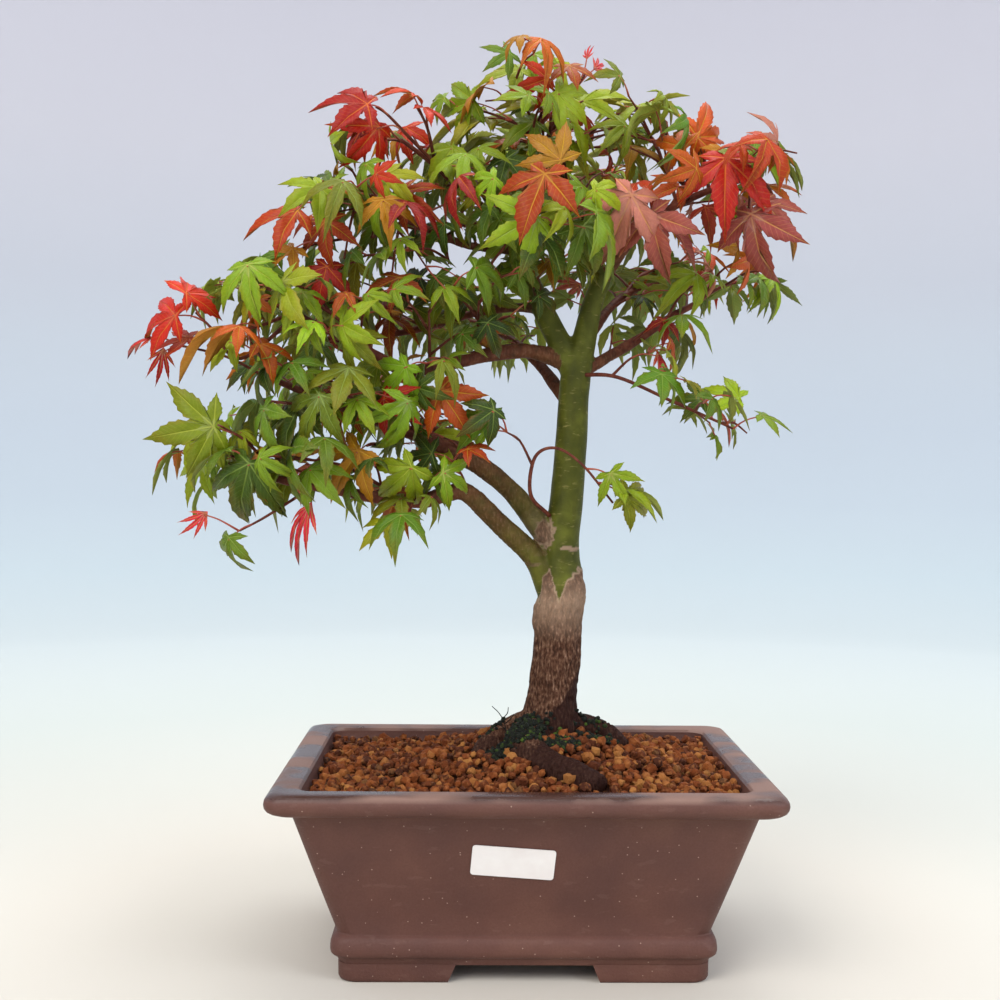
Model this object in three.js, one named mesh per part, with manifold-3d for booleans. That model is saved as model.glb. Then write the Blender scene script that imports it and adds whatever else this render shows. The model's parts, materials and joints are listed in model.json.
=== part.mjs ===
// A Japanese maple bonsai in an unglazed rectangular pot.
// Millimetres, +Z up, +X to the right of the pot's long front, +Y to the back.
// The tree grows in the pot's own frame; the finished group is moved so that the
// origin lies on the resting plane, under the middle of the whole plant's box.
import * as THREE from "three";
import { mergeVertices } from "three/addons/utils/BufferGeometryUtils.js";
import Module from "manifold-3d";

// ---------------------------------------------------------------- driving dimensions
const POT = {
  width: 260, // over the rim, left to right
  depth: 202, // over the rim, front to back
  height: 103.4,
  corner: 9, // radius of the outer corners
  footHeight: 9.5,
  footBand: 16, // how wide the strip is that the feet are cut from
  archWidth: 80, // clear width between the front feet at the bottom
  archDepth: 56, // clear width between the side feet at the bottom
  archSlope: 6, // how far each arch end leans in towards the top
  wall: 9,
  rimInset: 16.7, // from the rim's outer edge in to its inner edge
  floorTop: 18,
  cavityCorner: 7,
};
// Height above the table, and how far the wall stands in from the rim's outer edge.
const POT_OUTSIDE = [
  [9.2, 34],
  [12, 33.4],
  [13.6, 31],
  [18.4, 30.2],
  [23, 31.2],
  [24.6, 33],
  [91.4, 12],
  [92.2, 4.6],
  [94.4, 1.2],
  [98, 0],
  [101.6, 1],
  [103.4, 4.2],
];
const DRAIN = { x: 46, radius: 11 };
const SCREEN = { side: 34, thickness: 1.2, cells: 3, bar: 3 };
const WIRE = { radius: 0.6, reach: 16, leg: 8.2, below: 7.6, above: 1.2 };
const SOIL = { edge: 95, mound: 23, spread: 42, lumps: 1.1 };
const MOSS = { x: -6, y: -30, reach: [24, 18], thickness: 2.2 };
const LABEL = { width: 42, height: 17, thickness: 0.4, corner: 1.6, x: -6.5, z: 66.5, tilt: -4.5 };
const GAP = 0.3; // clearance left between pieces that touch
const TRUNK_X = 15; // the trunk stands this far right of the pot's middle

const COLOURS = {
  clay: 0x6e4c42,
  soil: 0x9a5a2c,
  bark: 0x6b5140,
  greenBark: 0x6a7438,
  brownBark: 0x6e4634,
  plastic: 0x2b2d2a,
  wire: 0x9a8f84,
  label: 0xf2efec,
  moss: 0x2c3a1c,
  green: 0x7d9a3a,
  gold: 0xb3b53c,
  orange: 0xbf5a26,
  red: 0xc92f2c,
  pink: 0xb8645c,
};

// ---------------------------------------------------------------- solids and meshes
const wasm = await Module();
wasm.setup();

/** A closed geometry as a solid that can be joined and cut. */
function solid(geometry) {
  const bare = geometry.clone();
  bare.deleteAttribute("normal");
  bare.deleteAttribute("uv");
  const merged = mergeVertices(bare, 1e-4);
  return new wasm.Manifold(
    new wasm.Mesh({
      numProp: 3,
      vertProperties: merged.getAttribute("position").array,
      triVerts: new Uint32Array(merged.index.array),
    }),
  );
}

/** The largest body of a solid, so that an offcut is never kept. */
function largest(made) {
  return made.decompose().sort((a, b) => b.volume() - a.volume())[0];
}

/** A solid as a named mesh. */
function piece(name, made, colour, roughness = 0.8, metalness = 0) {
  const { numProp, numVert, vertProperties, triVerts } = made.getMesh();
  const places = new Float32Array(numVert * 3);
  for (let i = 0; i < numVert; i += 1) {
    places.set(vertProperties.subarray(i * numProp, i * numProp + 3), i * 3);
  }
  const geometry = new THREE.BufferGeometry()
    .setAttribute("position", new THREE.BufferAttribute(places, 3))
    .setIndex(new THREE.BufferAttribute(new Uint32Array(triVerts), 1));
  geometry.computeVertexNormals();
  const material = new THREE.MeshStandardMaterial({ color: colour, roughness, metalness });
  const mesh = new THREE.Mesh(geometry, material);
  mesh.name = name;
  return mesh;
}

/** Numbers from 0 to 1 that are the same at each run. */
function seeded(seed) {
  let state = seed;
  return () => {
    state = (state * 1664525 + 1013904223) % 4294967296;
    return state / 4294967296;
  };
}

// ---------------------------------------------------------------- shapes
function roundedRectangle(width, depth, radius) {
  const [a, b] = [width / 2, depth / 2];
  const shape = new THREE.Shape();
  shape.moveTo(a, b - radius);
  shape.absarc(a - radius, b - radius, radius, 0, Math.PI / 2);
  shape.absarc(-a + radius, b - radius, radius, Math.PI / 2, Math.PI);
  shape.absarc(-a + radius, -b + radius, radius, Math.PI, Math.PI * 1.5);
  shape.absarc(a - radius, -b + radius, radius, Math.PI * 1.5, Math.PI * 2);
  return shape;
}

/** A rounded box whose sides follow a profile of [height, inset from the given size]. */
function tub(profile, width, depth, corner) {
  const steps = profile.length - 1;
  const shape = roundedRectangle(width, depth, corner);
  const options = { depth: 1, steps, bevelEnabled: false, curveSegments: 3 };
  const geometry = new THREE.ExtrudeGeometry(shape, options);
  const at = geometry.getAttribute("position");
  for (let i = 0; i < at.count; i += 1) {
    const [height, inset] = profile[Math.round(at.getZ(i) * steps)];
    const [x, y] = [at.getX(i), at.getY(i)];
    at.setXYZ(i, x - Math.sign(x) * inset, y - Math.sign(y) * inset, height);
  }
  return solid(geometry);
}

/** A block with its low corner and its high corner given. */
function block(low, high) {
  const size = high.map((value, k) => value - low[k]);
  const geometry = new THREE.BoxGeometry(...size);
  geometry.translate(...low.map((value, k) => value + size[k] / 2));
  return solid(geometry);
}

/** A bar with a trapezoid section, the tunnel between two feet. */
function archBar(widthBelow, slope, height, length) {
  const half = widthBelow / 2;
  const shape = new THREE.Shape([
    new THREE.Vector2(-half - 1, -1),
    new THREE.Vector2(half + 1, -1),
    new THREE.Vector2(half - slope, height),
    new THREE.Vector2(-half + slope, height),
  ]);
  const geometry = new THREE.ExtrudeGeometry(shape, { depth: length, bevelEnabled: false });
  geometry.translate(0, 0, -length / 2);
  geometry.rotateX(Math.PI / 2);
  return geometry;
}

/** The point at share t of a route of straight spans, and the way the route heads there. */
function along(route, t) {
  const span = Math.min(Math.floor(t * (route.length - 1)), route.length - 2);
  const [from, to] = [new THREE.Vector3(...route[span]), new THREE.Vector3(...route[span + 1])];
  return { point: from.clone().lerp(to, t * (route.length - 1) - span), heading: to.sub(from).normalize() };
}

/** A tapering stem along a smooth route, a radius for each point of it, grown by a clearance all round. */
function stem(route, radii, sides, stepsPerSpan = 2, grow = 0) {
  const points = route.map((p) => new THREE.Vector3(...p));
  const ends = [along(route, 0).heading, along(route, 1).heading];
  points[0].addScaledVector(ends[0], -grow);
  points.at(-1).addScaledVector(ends[1], grow);
  const curve = new THREE.CatmullRomCurve3(points);
  const steps = (route.length - 1) * stepsPerSpan;
  const overall = curve.getPoint(1).sub(curve.getPoint(0)).normalize();
  const across = Math.abs(overall.y) < 0.8 ? new THREE.Vector3(0, 1, 0) : new THREE.Vector3(0, 0, 1);
  const geometry = new THREE.CylinderGeometry(1, 1, 1, sides, steps);
  const at = geometry.getAttribute("position");
  for (let i = 0; i < at.count; i += 1) {
    const t = 0.5 - at.getY(i);
    const span = Math.min(Math.floor(t * (route.length - 1)), route.length - 2);
    const share = t * (route.length - 1) - span;
    const radius = radii[span] * (1 - share) + radii[span + 1] * share + grow;
    const right = new THREE.Vector3().crossVectors(curve.getTangent(t), across).normalize();
    const up = new THREE.Vector3().crossVectors(curve.getTangent(t), right).normalize();
    const place = curve.getPoint(t).addScaledVector(right, at.getX(i) * radius);
    place.addScaledVector(up, at.getZ(i) * radius);
    at.setXYZ(i, place.x, place.y, place.z);
  }
  return solid(geometry);
}

// ---------------------------------------------------------------- pot and what belongs to it
function potInside(clearance, top) {
  const wallFoot = POT.rimInset + 12 + clearance;
  return tub(
    [
      [POT.floorTop + clearance, wallFoot + 9],
      [POT.floorTop + 8 + clearance, wallFoot + 6],
      [88, POT.rimInset + 4.3 + clearance],
      [97, POT.rimInset + clearance],
      [top, POT.rimInset + clearance],
    ],
    POT.width,
    POT.depth,
    POT.cavityCorner,
  );
}

function makeFeet() {
  const foot = 34; // inset of the feet's outer face from the rim
  const band = tub([[0, foot + 1], [2, foot], [POT.footHeight, foot]], POT.width, POT.depth, POT.corner);
  const middle = block(
    [-POT.width / 2 + foot + POT.footBand, -POT.depth / 2 + foot + POT.footBand, -1],
    [POT.width / 2 - foot - POT.footBand, POT.depth / 2 - foot - POT.footBand, POT.footHeight + 1],
  );
  const height = POT.footHeight + 1;
  const frontToBack = archBar(POT.archWidth, POT.archSlope, height, POT.depth);
  const sideToSide = archBar(POT.archDepth, POT.archSlope, height, POT.width).rotateZ(Math.PI / 2);
  return band.subtract(middle).subtract(solid(frontToBack)).subtract(solid(sideToSide));
}

function makePot() {
  let pot = tub(POT_OUTSIDE, POT.width, POT.depth, POT.corner).add(makeFeet());
  pot = pot.subtract(potInside(0, POT.height + 1));
  for (const side of [-1, 1]) {
    const hole = new THREE.CylinderGeometry(DRAIN.radius, DRAIN.radius, 30, 20);
    hole.rotateX(Math.PI / 2).translate(side * DRAIN.x, 0, POT.floorTop - 8);
    pot = pot.subtract(solid(hole));
  }
  return pot.simplify(0.02);
}

function makeScreen(x) {
  const shape = roundedRectangle(SCREEN.side, SCREEN.side, 1.5);
  const options = { depth: SCREEN.thickness, bevelEnabled: false, curveSegments: 2 };
  const plate = new THREE.ExtrudeGeometry(shape, options);
  let screen = solid(plate.translate(x, 0, POT.floorTop + GAP));
  const pitch = (SCREEN.side - SCREEN.bar) / SCREEN.cells;
  const half = (pitch - SCREEN.bar) / 2;
  for (let i = 0; i < SCREEN.cells; i += 1) {
    for (let j = 0; j < SCREEN.cells; j += 1) {
      const [u, v] = [i, j].map((k) => (k - (SCREEN.cells - 1) / 2) * pitch);
      const [low, high] = [POT.floorTop - 1, POT.floorTop + 4];
      screen = screen.subtract(block([x + u - half, v - half, low], [x + u + half, v + half, high]));
    }
  }
  return screen;
}

/** The wire staple that holds a screen: over the mesh, down through the hole and out under the floor. */
function makeScreenWire(x) {
  const top = POT.floorTop + GAP + SCREEN.thickness + WIRE.above;
  const corners = [
    [-WIRE.reach, WIRE.below],
    [-WIRE.leg, WIRE.below],
    [-WIRE.leg, top],
    [WIRE.leg, top],
    [WIRE.leg, WIRE.below],
    [WIRE.reach, WIRE.below],
  ];
  const route = new THREE.CurvePath();
  corners.slice(1).forEach(([u, w], k) => {
    const [u0, w0] = corners[k];
    route.add(new THREE.LineCurve3(new THREE.Vector3(x + u0, 0, w0), new THREE.Vector3(x + u, 0, w)));
  });
  const legs = route.curves.map((line) => {
    const direction = line.v2.clone().sub(line.v1).normalize();
    const overlap = direction.multiplyScalar(WIRE.radius * 0.6);
    const ends = [line.v1.clone().sub(overlap), line.v2.clone().add(overlap)];
    return stem(ends.map((p) => p.toArray()), [WIRE.radius, WIRE.radius], 6, 1);
  });
  return legs.reduce((all, leg) => all.add(leg));
}

function soilHeight(x, y) {
  const away = ((x - TRUNK_X) ** 2 + y ** 2) / (2 * SOIL.spread ** 2);
  const lumps = Math.sin(x * 0.31 + 1.3) * Math.cos(y * 0.37) + 0.6 * Math.sin(x * 0.12 - y * 0.17);
  return SOIL.edge + SOIL.mound * Math.exp(-away) + SOIL.lumps * lumps;
}

/** The solid under the soil's surface, with the surface raised by the given amount. */
function ground(raise) {
  const geometry = new THREE.BoxGeometry(POT.width, POT.depth, 60, 9, 7, 1);
  geometry.translate(0, 0, 30);
  const at = geometry.getAttribute("position");
  for (let i = 0; i < at.count; i += 1) {
    if (at.getZ(i) > 1) at.setZ(i, soilHeight(at.getX(i), at.getY(i)) + raise);
  }
  return solid(geometry);
}

function makeSoil(keepClear) {
  let soil = ground(0).intersect(potInside(GAP, 150));
  for (const side of [-1, 1]) {
    const pocket = SCREEN.side / 2 + 1;
    soil = soil.subtract(
      block([side * DRAIN.x - pocket, -pocket, 0], [side * DRAIN.x + pocket, pocket, POT.floorTop + 6]),
    );
  }
  return largest(soil.subtract(keepClear)).simplify(0.02);
}

/** A thin patch of moss that lies on the soil between the front roots. */
function makeMoss(keepClear) {
  const patch = new THREE.CylinderGeometry(1, 1, 80, 14).rotateX(Math.PI / 2);
  patch.scale(MOSS.reach[0], MOSS.reach[1], 1).translate(MOSS.x, MOSS.y, 110);
  const layer = ground(GAP + MOSS.thickness).subtract(ground(GAP));
  return largest(layer.intersect(solid(patch)).subtract(keepClear)).simplify(0.02);
}

function makeLabel() {
  const shape = roundedRectangle(LABEL.width, LABEL.height, LABEL.corner);
  const geometry = new THREE.ExtrudeGeometry(shape, {
    depth: LABEL.thickness,
    bevelEnabled: false,
    curveSegments: 3,
  });
  const [below, above] = [POT_OUTSIDE[5], POT_OUTSIDE[6]];
  const share = (LABEL.z - below[0]) / (above[0] - below[0]);
  const inset = below[1] + (above[1] - below[1]) * share;
  const lean = Math.atan2(below[1] - above[1], above[0] - below[0]);
  geometry.rotateZ(THREE.MathUtils.degToRad(LABEL.tilt));
  geometry.rotateX(Math.PI / 2 + lean);
  geometry.translate(LABEL.x, -POT.depth / 2 + inset - GAP, LABEL.z);
  return solid(geometry);
}

// ---------------------------------------------------------------- wood
const TRUNK = {
  route: [
    [15, 2, 84], [15.2, 1, 104], [15.6, 0, 120], [16.4, 0, 135], [17.6, 0, 147], [19, 0, 168],
    [19.6, 0, 182],
    [21.6, 0, 191], [21.4, 0, 200], [21.2, 0, 214], [21.4, 0, 226], [23.7, 0, 246], [26.2, 0, 282],
    [28, 0, 313], [33, 0, 337], [37.5, -1, 357], [42.5, -2, 370],
  ],
  radii: [15, 19, 17, 14.6, 13.8, 13.3, 14.4, 13.6, 12.8, 10.3, 9.9, 9.5, 8.8, 8.5, 6.8, 5.5, 5.2],
};
const ROOTS = [
  { route: [[10, -4, 122], [0, -22, 116], [8, -40, 108], [21, -54, 103], [36, -67, 95]],
    radii: [11, 9, 7.6, 6.6, 4.6] },
  { route: [[12, 0, 122], [-7, -6, 118], [-21, -15, 110], [-32, -23, 96]], radii: [10, 8, 6.5, 4] },
  { route: [[18, 2, 122], [36, 1, 119.5], [52, 3, 113], [66, 5, 99]], radii: [9, 7, 5.6, 3.6] },
  { route: [[14, 6, 120], [6, 28, 113], [-4, 46, 98]], radii: [10, 7, 4.4] },
  { route: [[20, 5, 118], [40, 25, 109], [54, 38, 96]], radii: [9, 6.4, 4] },
];
// Each bough: the route of its middle line, and its radius where it leaves its parent and at its tip.
const BOUGHS = [
  {
    name: "bough_lower_left",
    route: [[14, 0, 196], [5.6, -3, 214.6], [-14, -8, 234], [-31.6, -11, 250], [-41, -13, 250],
      [-56, -18, 246],
      [-76, -24, 247], [-96, -28, 250.5], [-114, -32, 253.5], [-131, -34, 257], [-148, -36, 262]],
    radii: [6.8, 1.5],
  },
  {
    name: "bough_middle_left",
    route: [[15, 1, 224], [2.6, 1, 239.8], [-9.4, 0, 253.3], [-24.4, -3, 265.2], [-39, -6, 272.6],
      [-54, -9, 280],
      [-69, -12, 285], [-86, -15, 291], [-102, -18, 297.4], [-122, -22, 305], [-142, -26, 313]],
    radii: [6.8, 1.4],
  },
  {
    name: "bough_middle_left_back",
    route: [[-24, -3, 265], [-38, 16, 278], [-58, 34, 290], [-80, 50, 299], [-102, 64, 306]],
    radii: [3.4, 1.2],
  },
  {
    name: "bough_upper_left",
    route: [[24, 0, 322], [2, -3, 329], [-24, -8, 325.5], [-46, -14, 319.7], [-66, -20, 316],
      [-79, -24, 323],
      [-93, -28, 330], [-107, -32, 337], [-124, -36, 345], [-140, -40, 353]],
    radii: [4.8, 1.3],
  },
  {
    name: "stem_left",
    route: [[28, 0, 316], [18, 1, 336], [10, 2, 352], [3, 3, 368], [-4, 4, 382], [-11, 4, 395],
      [-18, 4, 408],
      [-26, 4, 420]],
    radii: [7.4, 2.1],
  },
  {
    name: "bough_left_back",
    route: [[8, 2, 353], [-6, 8, 354], [-25, 14, 352], [-56, 22, 344], [-80, 27, 339.5], [-104, 31, 337],
      [-122, 34, 339]],
    radii: [2.9, 1.2],
  },
  {
    name: "bough_left_high",
    route: [[-6, 3, 385], [-32, -8, 386], [-56, -20, 393.5], [-78, -30, 400.5], [-95, -36, 406]],
    radii: [2.6, 1],
  },
  {
    name: "bough_crown_left",
    route: [[-15, 4, 403], [-35, -6, 416], [-53, -20, 429], [-68, -30, 438]],
    radii: [2.5, 1],
  },
  { name: "leader", route: [[40, -1, 362], [38, 0, 386], [29, 2, 408], [19, 2, 427], [9.5, 0, 443]],
    radii: [4.8, 1.6] },
  {
    name: "bough_upper_right",
    route: [[41, -2, 366], [57, -12, 390], [76, -24, 404], [98, -34, 413], [118, -42, 418]],
    radii: [3.6, 1.2],
  },
  {
    name: "bough_right",
    route: [[29, 0, 316], [47, 4, 327], [66, 10, 338.5], [84.6, 15, 351.5], [98, 18, 359], [108, 20, 368]],
    radii: [3.8, 1.2],
  },
  {
    name: "bough_back_left",
    route: [[26, 1, 298], [12, 24, 320], [-4, 48, 338], [-22, 70, 350], [-42, 88, 357]],
    radii: [4.2, 1.3],
  },
  {
    name: "bough_back_right",
    route: [[32, 1, 333], [44, 22, 350], [57, 44, 364], [71, 64, 373], [84, 82, 378]],
    radii: [3.8, 1.2],
  },
  { name: "bough_crown_back", route: [[36, 1, 392], [30, 18, 411], [22, 38, 426], [14, 56, 435]],
    radii: [2.8, 1] },
  { name: "bough_front", route: [[8, 2, 356], [2, -20, 378], [-4, -42, 391], [-8, -60, 397]],
    radii: [2.8, 1] },
];

/** A bough's radius at each point of its route, thinning evenly from parent to tip. */
function taper(bough) {
  const [start, end] = bough.radii;
  return bough.route.map((_, k) => start + ((end - start) * k) / (bough.route.length - 1));
}

/** The trunk with its surface roots, grown outwards by the given clearance. */
function makeTrunk(grow = 0) {
  const roots = ROOTS.map((root) => stem(root.route, root.radii, 7, 1, grow));
  return roots.reduce((all, root) => all.add(root), stem(TRUNK.route, TRUNK.radii, 10, 1, grow));
}

// ---------------------------------------------------------------- leaves
// One blade, for a middle lobe of length 1: the angle and reach of each lobe and notch on one side.
const LOBES = [[0, 1], [24, 0.36], [52, 0.82], [80, 0.3], [112, 0.56]];
const BLADE_THICKNESS = 0.9;
const STALK_RADII = [0.6, 0.3]; // where it leaves the twig, and at its end inside the blade
const CANOPY_AXIS = new THREE.Vector3(-20, 0, 0); // leaves turn their faces away from this upright line

/** A palmate blade in the XY plane, its middle lobe along +X, its face up. */
function bladeShape(length) {
  const spoke = ([angle, reach]) => {
    const turn = THREE.MathUtils.degToRad(angle);
    return new THREE.Vector2(reach * length * Math.cos(turn), reach * length * Math.sin(turn));
  };
  const right = LOBES.slice(1).map(([angle, reach]) => spoke([-angle, reach]));
  const left = LOBES.slice(1).map(spoke);
  return new THREE.Shape([...right.reverse(), spoke(LOBES[0]), ...left]);
}

/** The blade as a solid at its place: junction with the stalk, way the tip points, way the face looks. */
function makeBlade(leaf, spare = 0) {
  const geometry = new THREE.ExtrudeGeometry(bladeShape(leaf.length + 2 * spare), {
    depth: BLADE_THICKNESS + 2 * spare,
    bevelEnabled: false,
  });
  geometry.translate(0, 0, -BLADE_THICKNESS / 2 - spare);
  const face = leaf.face.clone().normalize();
  const tip = leaf.tip.clone().addScaledVector(face, -leaf.tip.dot(face)).normalize();
  const side = new THREE.Vector3().crossVectors(face, tip);
  geometry.applyMatrix4(new THREE.Matrix4().makeBasis(tip, side, face).setPosition(leaf.junction));
  return solid(geometry);
}

// Everything grown so far, as solids with their boxes, which later leaves keep clear of.
const grown = [];

function remember(made, owner = "wood") {
  grown.push({ made, box: made.boundingBox(), owner });
}

/** True if a solid meets anything grown by another owner, or one of the given solids. */
function touches(made, owner, also = []) {
  const box = made.boundingBox();
  return grown
    .filter((other) => other.owner !== owner)
    .concat(also)
    .some(
      (other) =>
        [0, 1, 2].every((k) => box.min[k] < other.box.max[k] && other.box.min[k] < box.max[k]) &&
        made.intersect(other.made).volume() > 0,
    );
}

/** A shoot: a thin twig, cut to meet the wood, with its leaves on their stalks. */
class Shoot {
  constructor(settings, wood) {
    const { name, route, radii = [1.3, 0.7], colour, leaves = [], pairs = 0, size = 32, seed = 1 } = settings;
    const [start, end] = radii;
    this.twigRadii = route.map((_, k) => start + ((end - start) * k) / (route.length - 1));
    Object.assign(this, { name, route, colour, leaves, pairs, size, random: seeded(seed * 7919) });
    this.made = largest(stem(route, this.twigRadii, 4, 1).subtract(wood));
    this.blades = [];
    remember(this.made, name);
  }

  /** The room the bare twig needs, for whatever grows next. */
  room() {
    return stem(this.route, this.twigRadii, 4, 1, GAP);
  }

  growLeaves() {
    this.leaves.forEach((leaf) => this.place(leaf));
    this.growPairs(this.pairs, this.size);
    this.made = this.made.simplify(0.02);
  }

  /** Joins a leaf to the shoot if its blade and stalk are clear of everything else. */
  add(leaf, t) {
    const root = along(this.route, Math.min(t, 0.97) - 0.04 * (this.blades.length % 2)).point;
    const line = [root.toArray(), leaf.junction.toArray()];
    const stalk = stem(line, STALK_RADII, 3, 1);
    const room = makeBlade(leaf, GAP);
    const stalkRoom = stem(line, STALK_RADII, 4, 1, GAP + 0.1);
    if (touches(room, this.name, this.blades) || touches(stalkRoom, this.name)) return false;
    if (touches(stalk, this.name, this.blades)) return false;
    this.made = this.made.add(stalk).add(makeBlade(leaf));
    this.blades.push({ made: room, box: room.boundingBox() });
    remember(room, this.name);
    remember(stalkRoom, this.name);
    return true;
  }

  /** A leaf given by hand: x, y, z of its junction, its tip's heading and tilt in degrees, its length. */
  place([x, y, z, heading, tilt, length, t = 1]) {
    const [turn, lean] = [heading, tilt].map(THREE.MathUtils.degToRad);
    for (const nudge of [0, 4, -4, 8, -8, 12, -12, 16]) {
      const leaf = {
        junction: new THREE.Vector3(x, y + nudge * 0.6, z - Math.abs(nudge) * 0.2),
        tip: new THREE.Vector3(Math.cos(turn), 0, Math.sin(turn)),
        face: new THREE.Vector3(Math.sin(nudge / 20) * 0.5, -Math.cos(lean), Math.sin(lean)),
        length,
      };
      if (this.add(leaf, t)) return;
    }
    console.log(`${this.name}: no room for the leaf at ${x}, ${y}, ${z}`);
  }

  /** Opposite pairs along the twig, each leaf turned until it finds room. */
  growPairs(pairs, size) {
    for (let k = 0; k < pairs; k += 1) {
      const t = 1 - (k / Math.max(pairs, 1)) * 0.8;
      for (const side of [-1, 1]) this.grow(t, side, size * (0.8 + 0.35 * this.random()));
    }
  }

  grow(t, side, length) {
    const { point: from, heading } = along(this.route, t);
    const level = new THREE.Vector3().crossVectors(heading, new THREE.Vector3(0, 0, 1)).normalize();
    for (let attempt = 0; attempt < 16; attempt += 1) {
      const spread = 0.5 + 0.9 * this.random();
      const rise = 0.7 * (this.random() - 0.45);
      const out = heading.clone().addScaledVector(level, side * spread);
      out.add(new THREE.Vector3(0, 0, rise)).normalize();
      const junction = from.clone().addScaledVector(out, 9 + 17 * this.random());
      const away = junction.clone().sub(CANOPY_AXIS).setZ(0).normalize();
      const lean = THREE.MathUtils.degToRad(22 + 50 * this.random());
      const face = away.multiplyScalar(Math.cos(lean)).add(new THREE.Vector3(0, -0.25, Math.sin(lean)));
      const tip = out.clone().add(new THREE.Vector3(0, 0, -0.35 - 0.4 * this.random()));
      if (this.add({ junction, tip, face, length: length * (1 - attempt * 0.02) }, t)) return;
    }
  }
}

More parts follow.
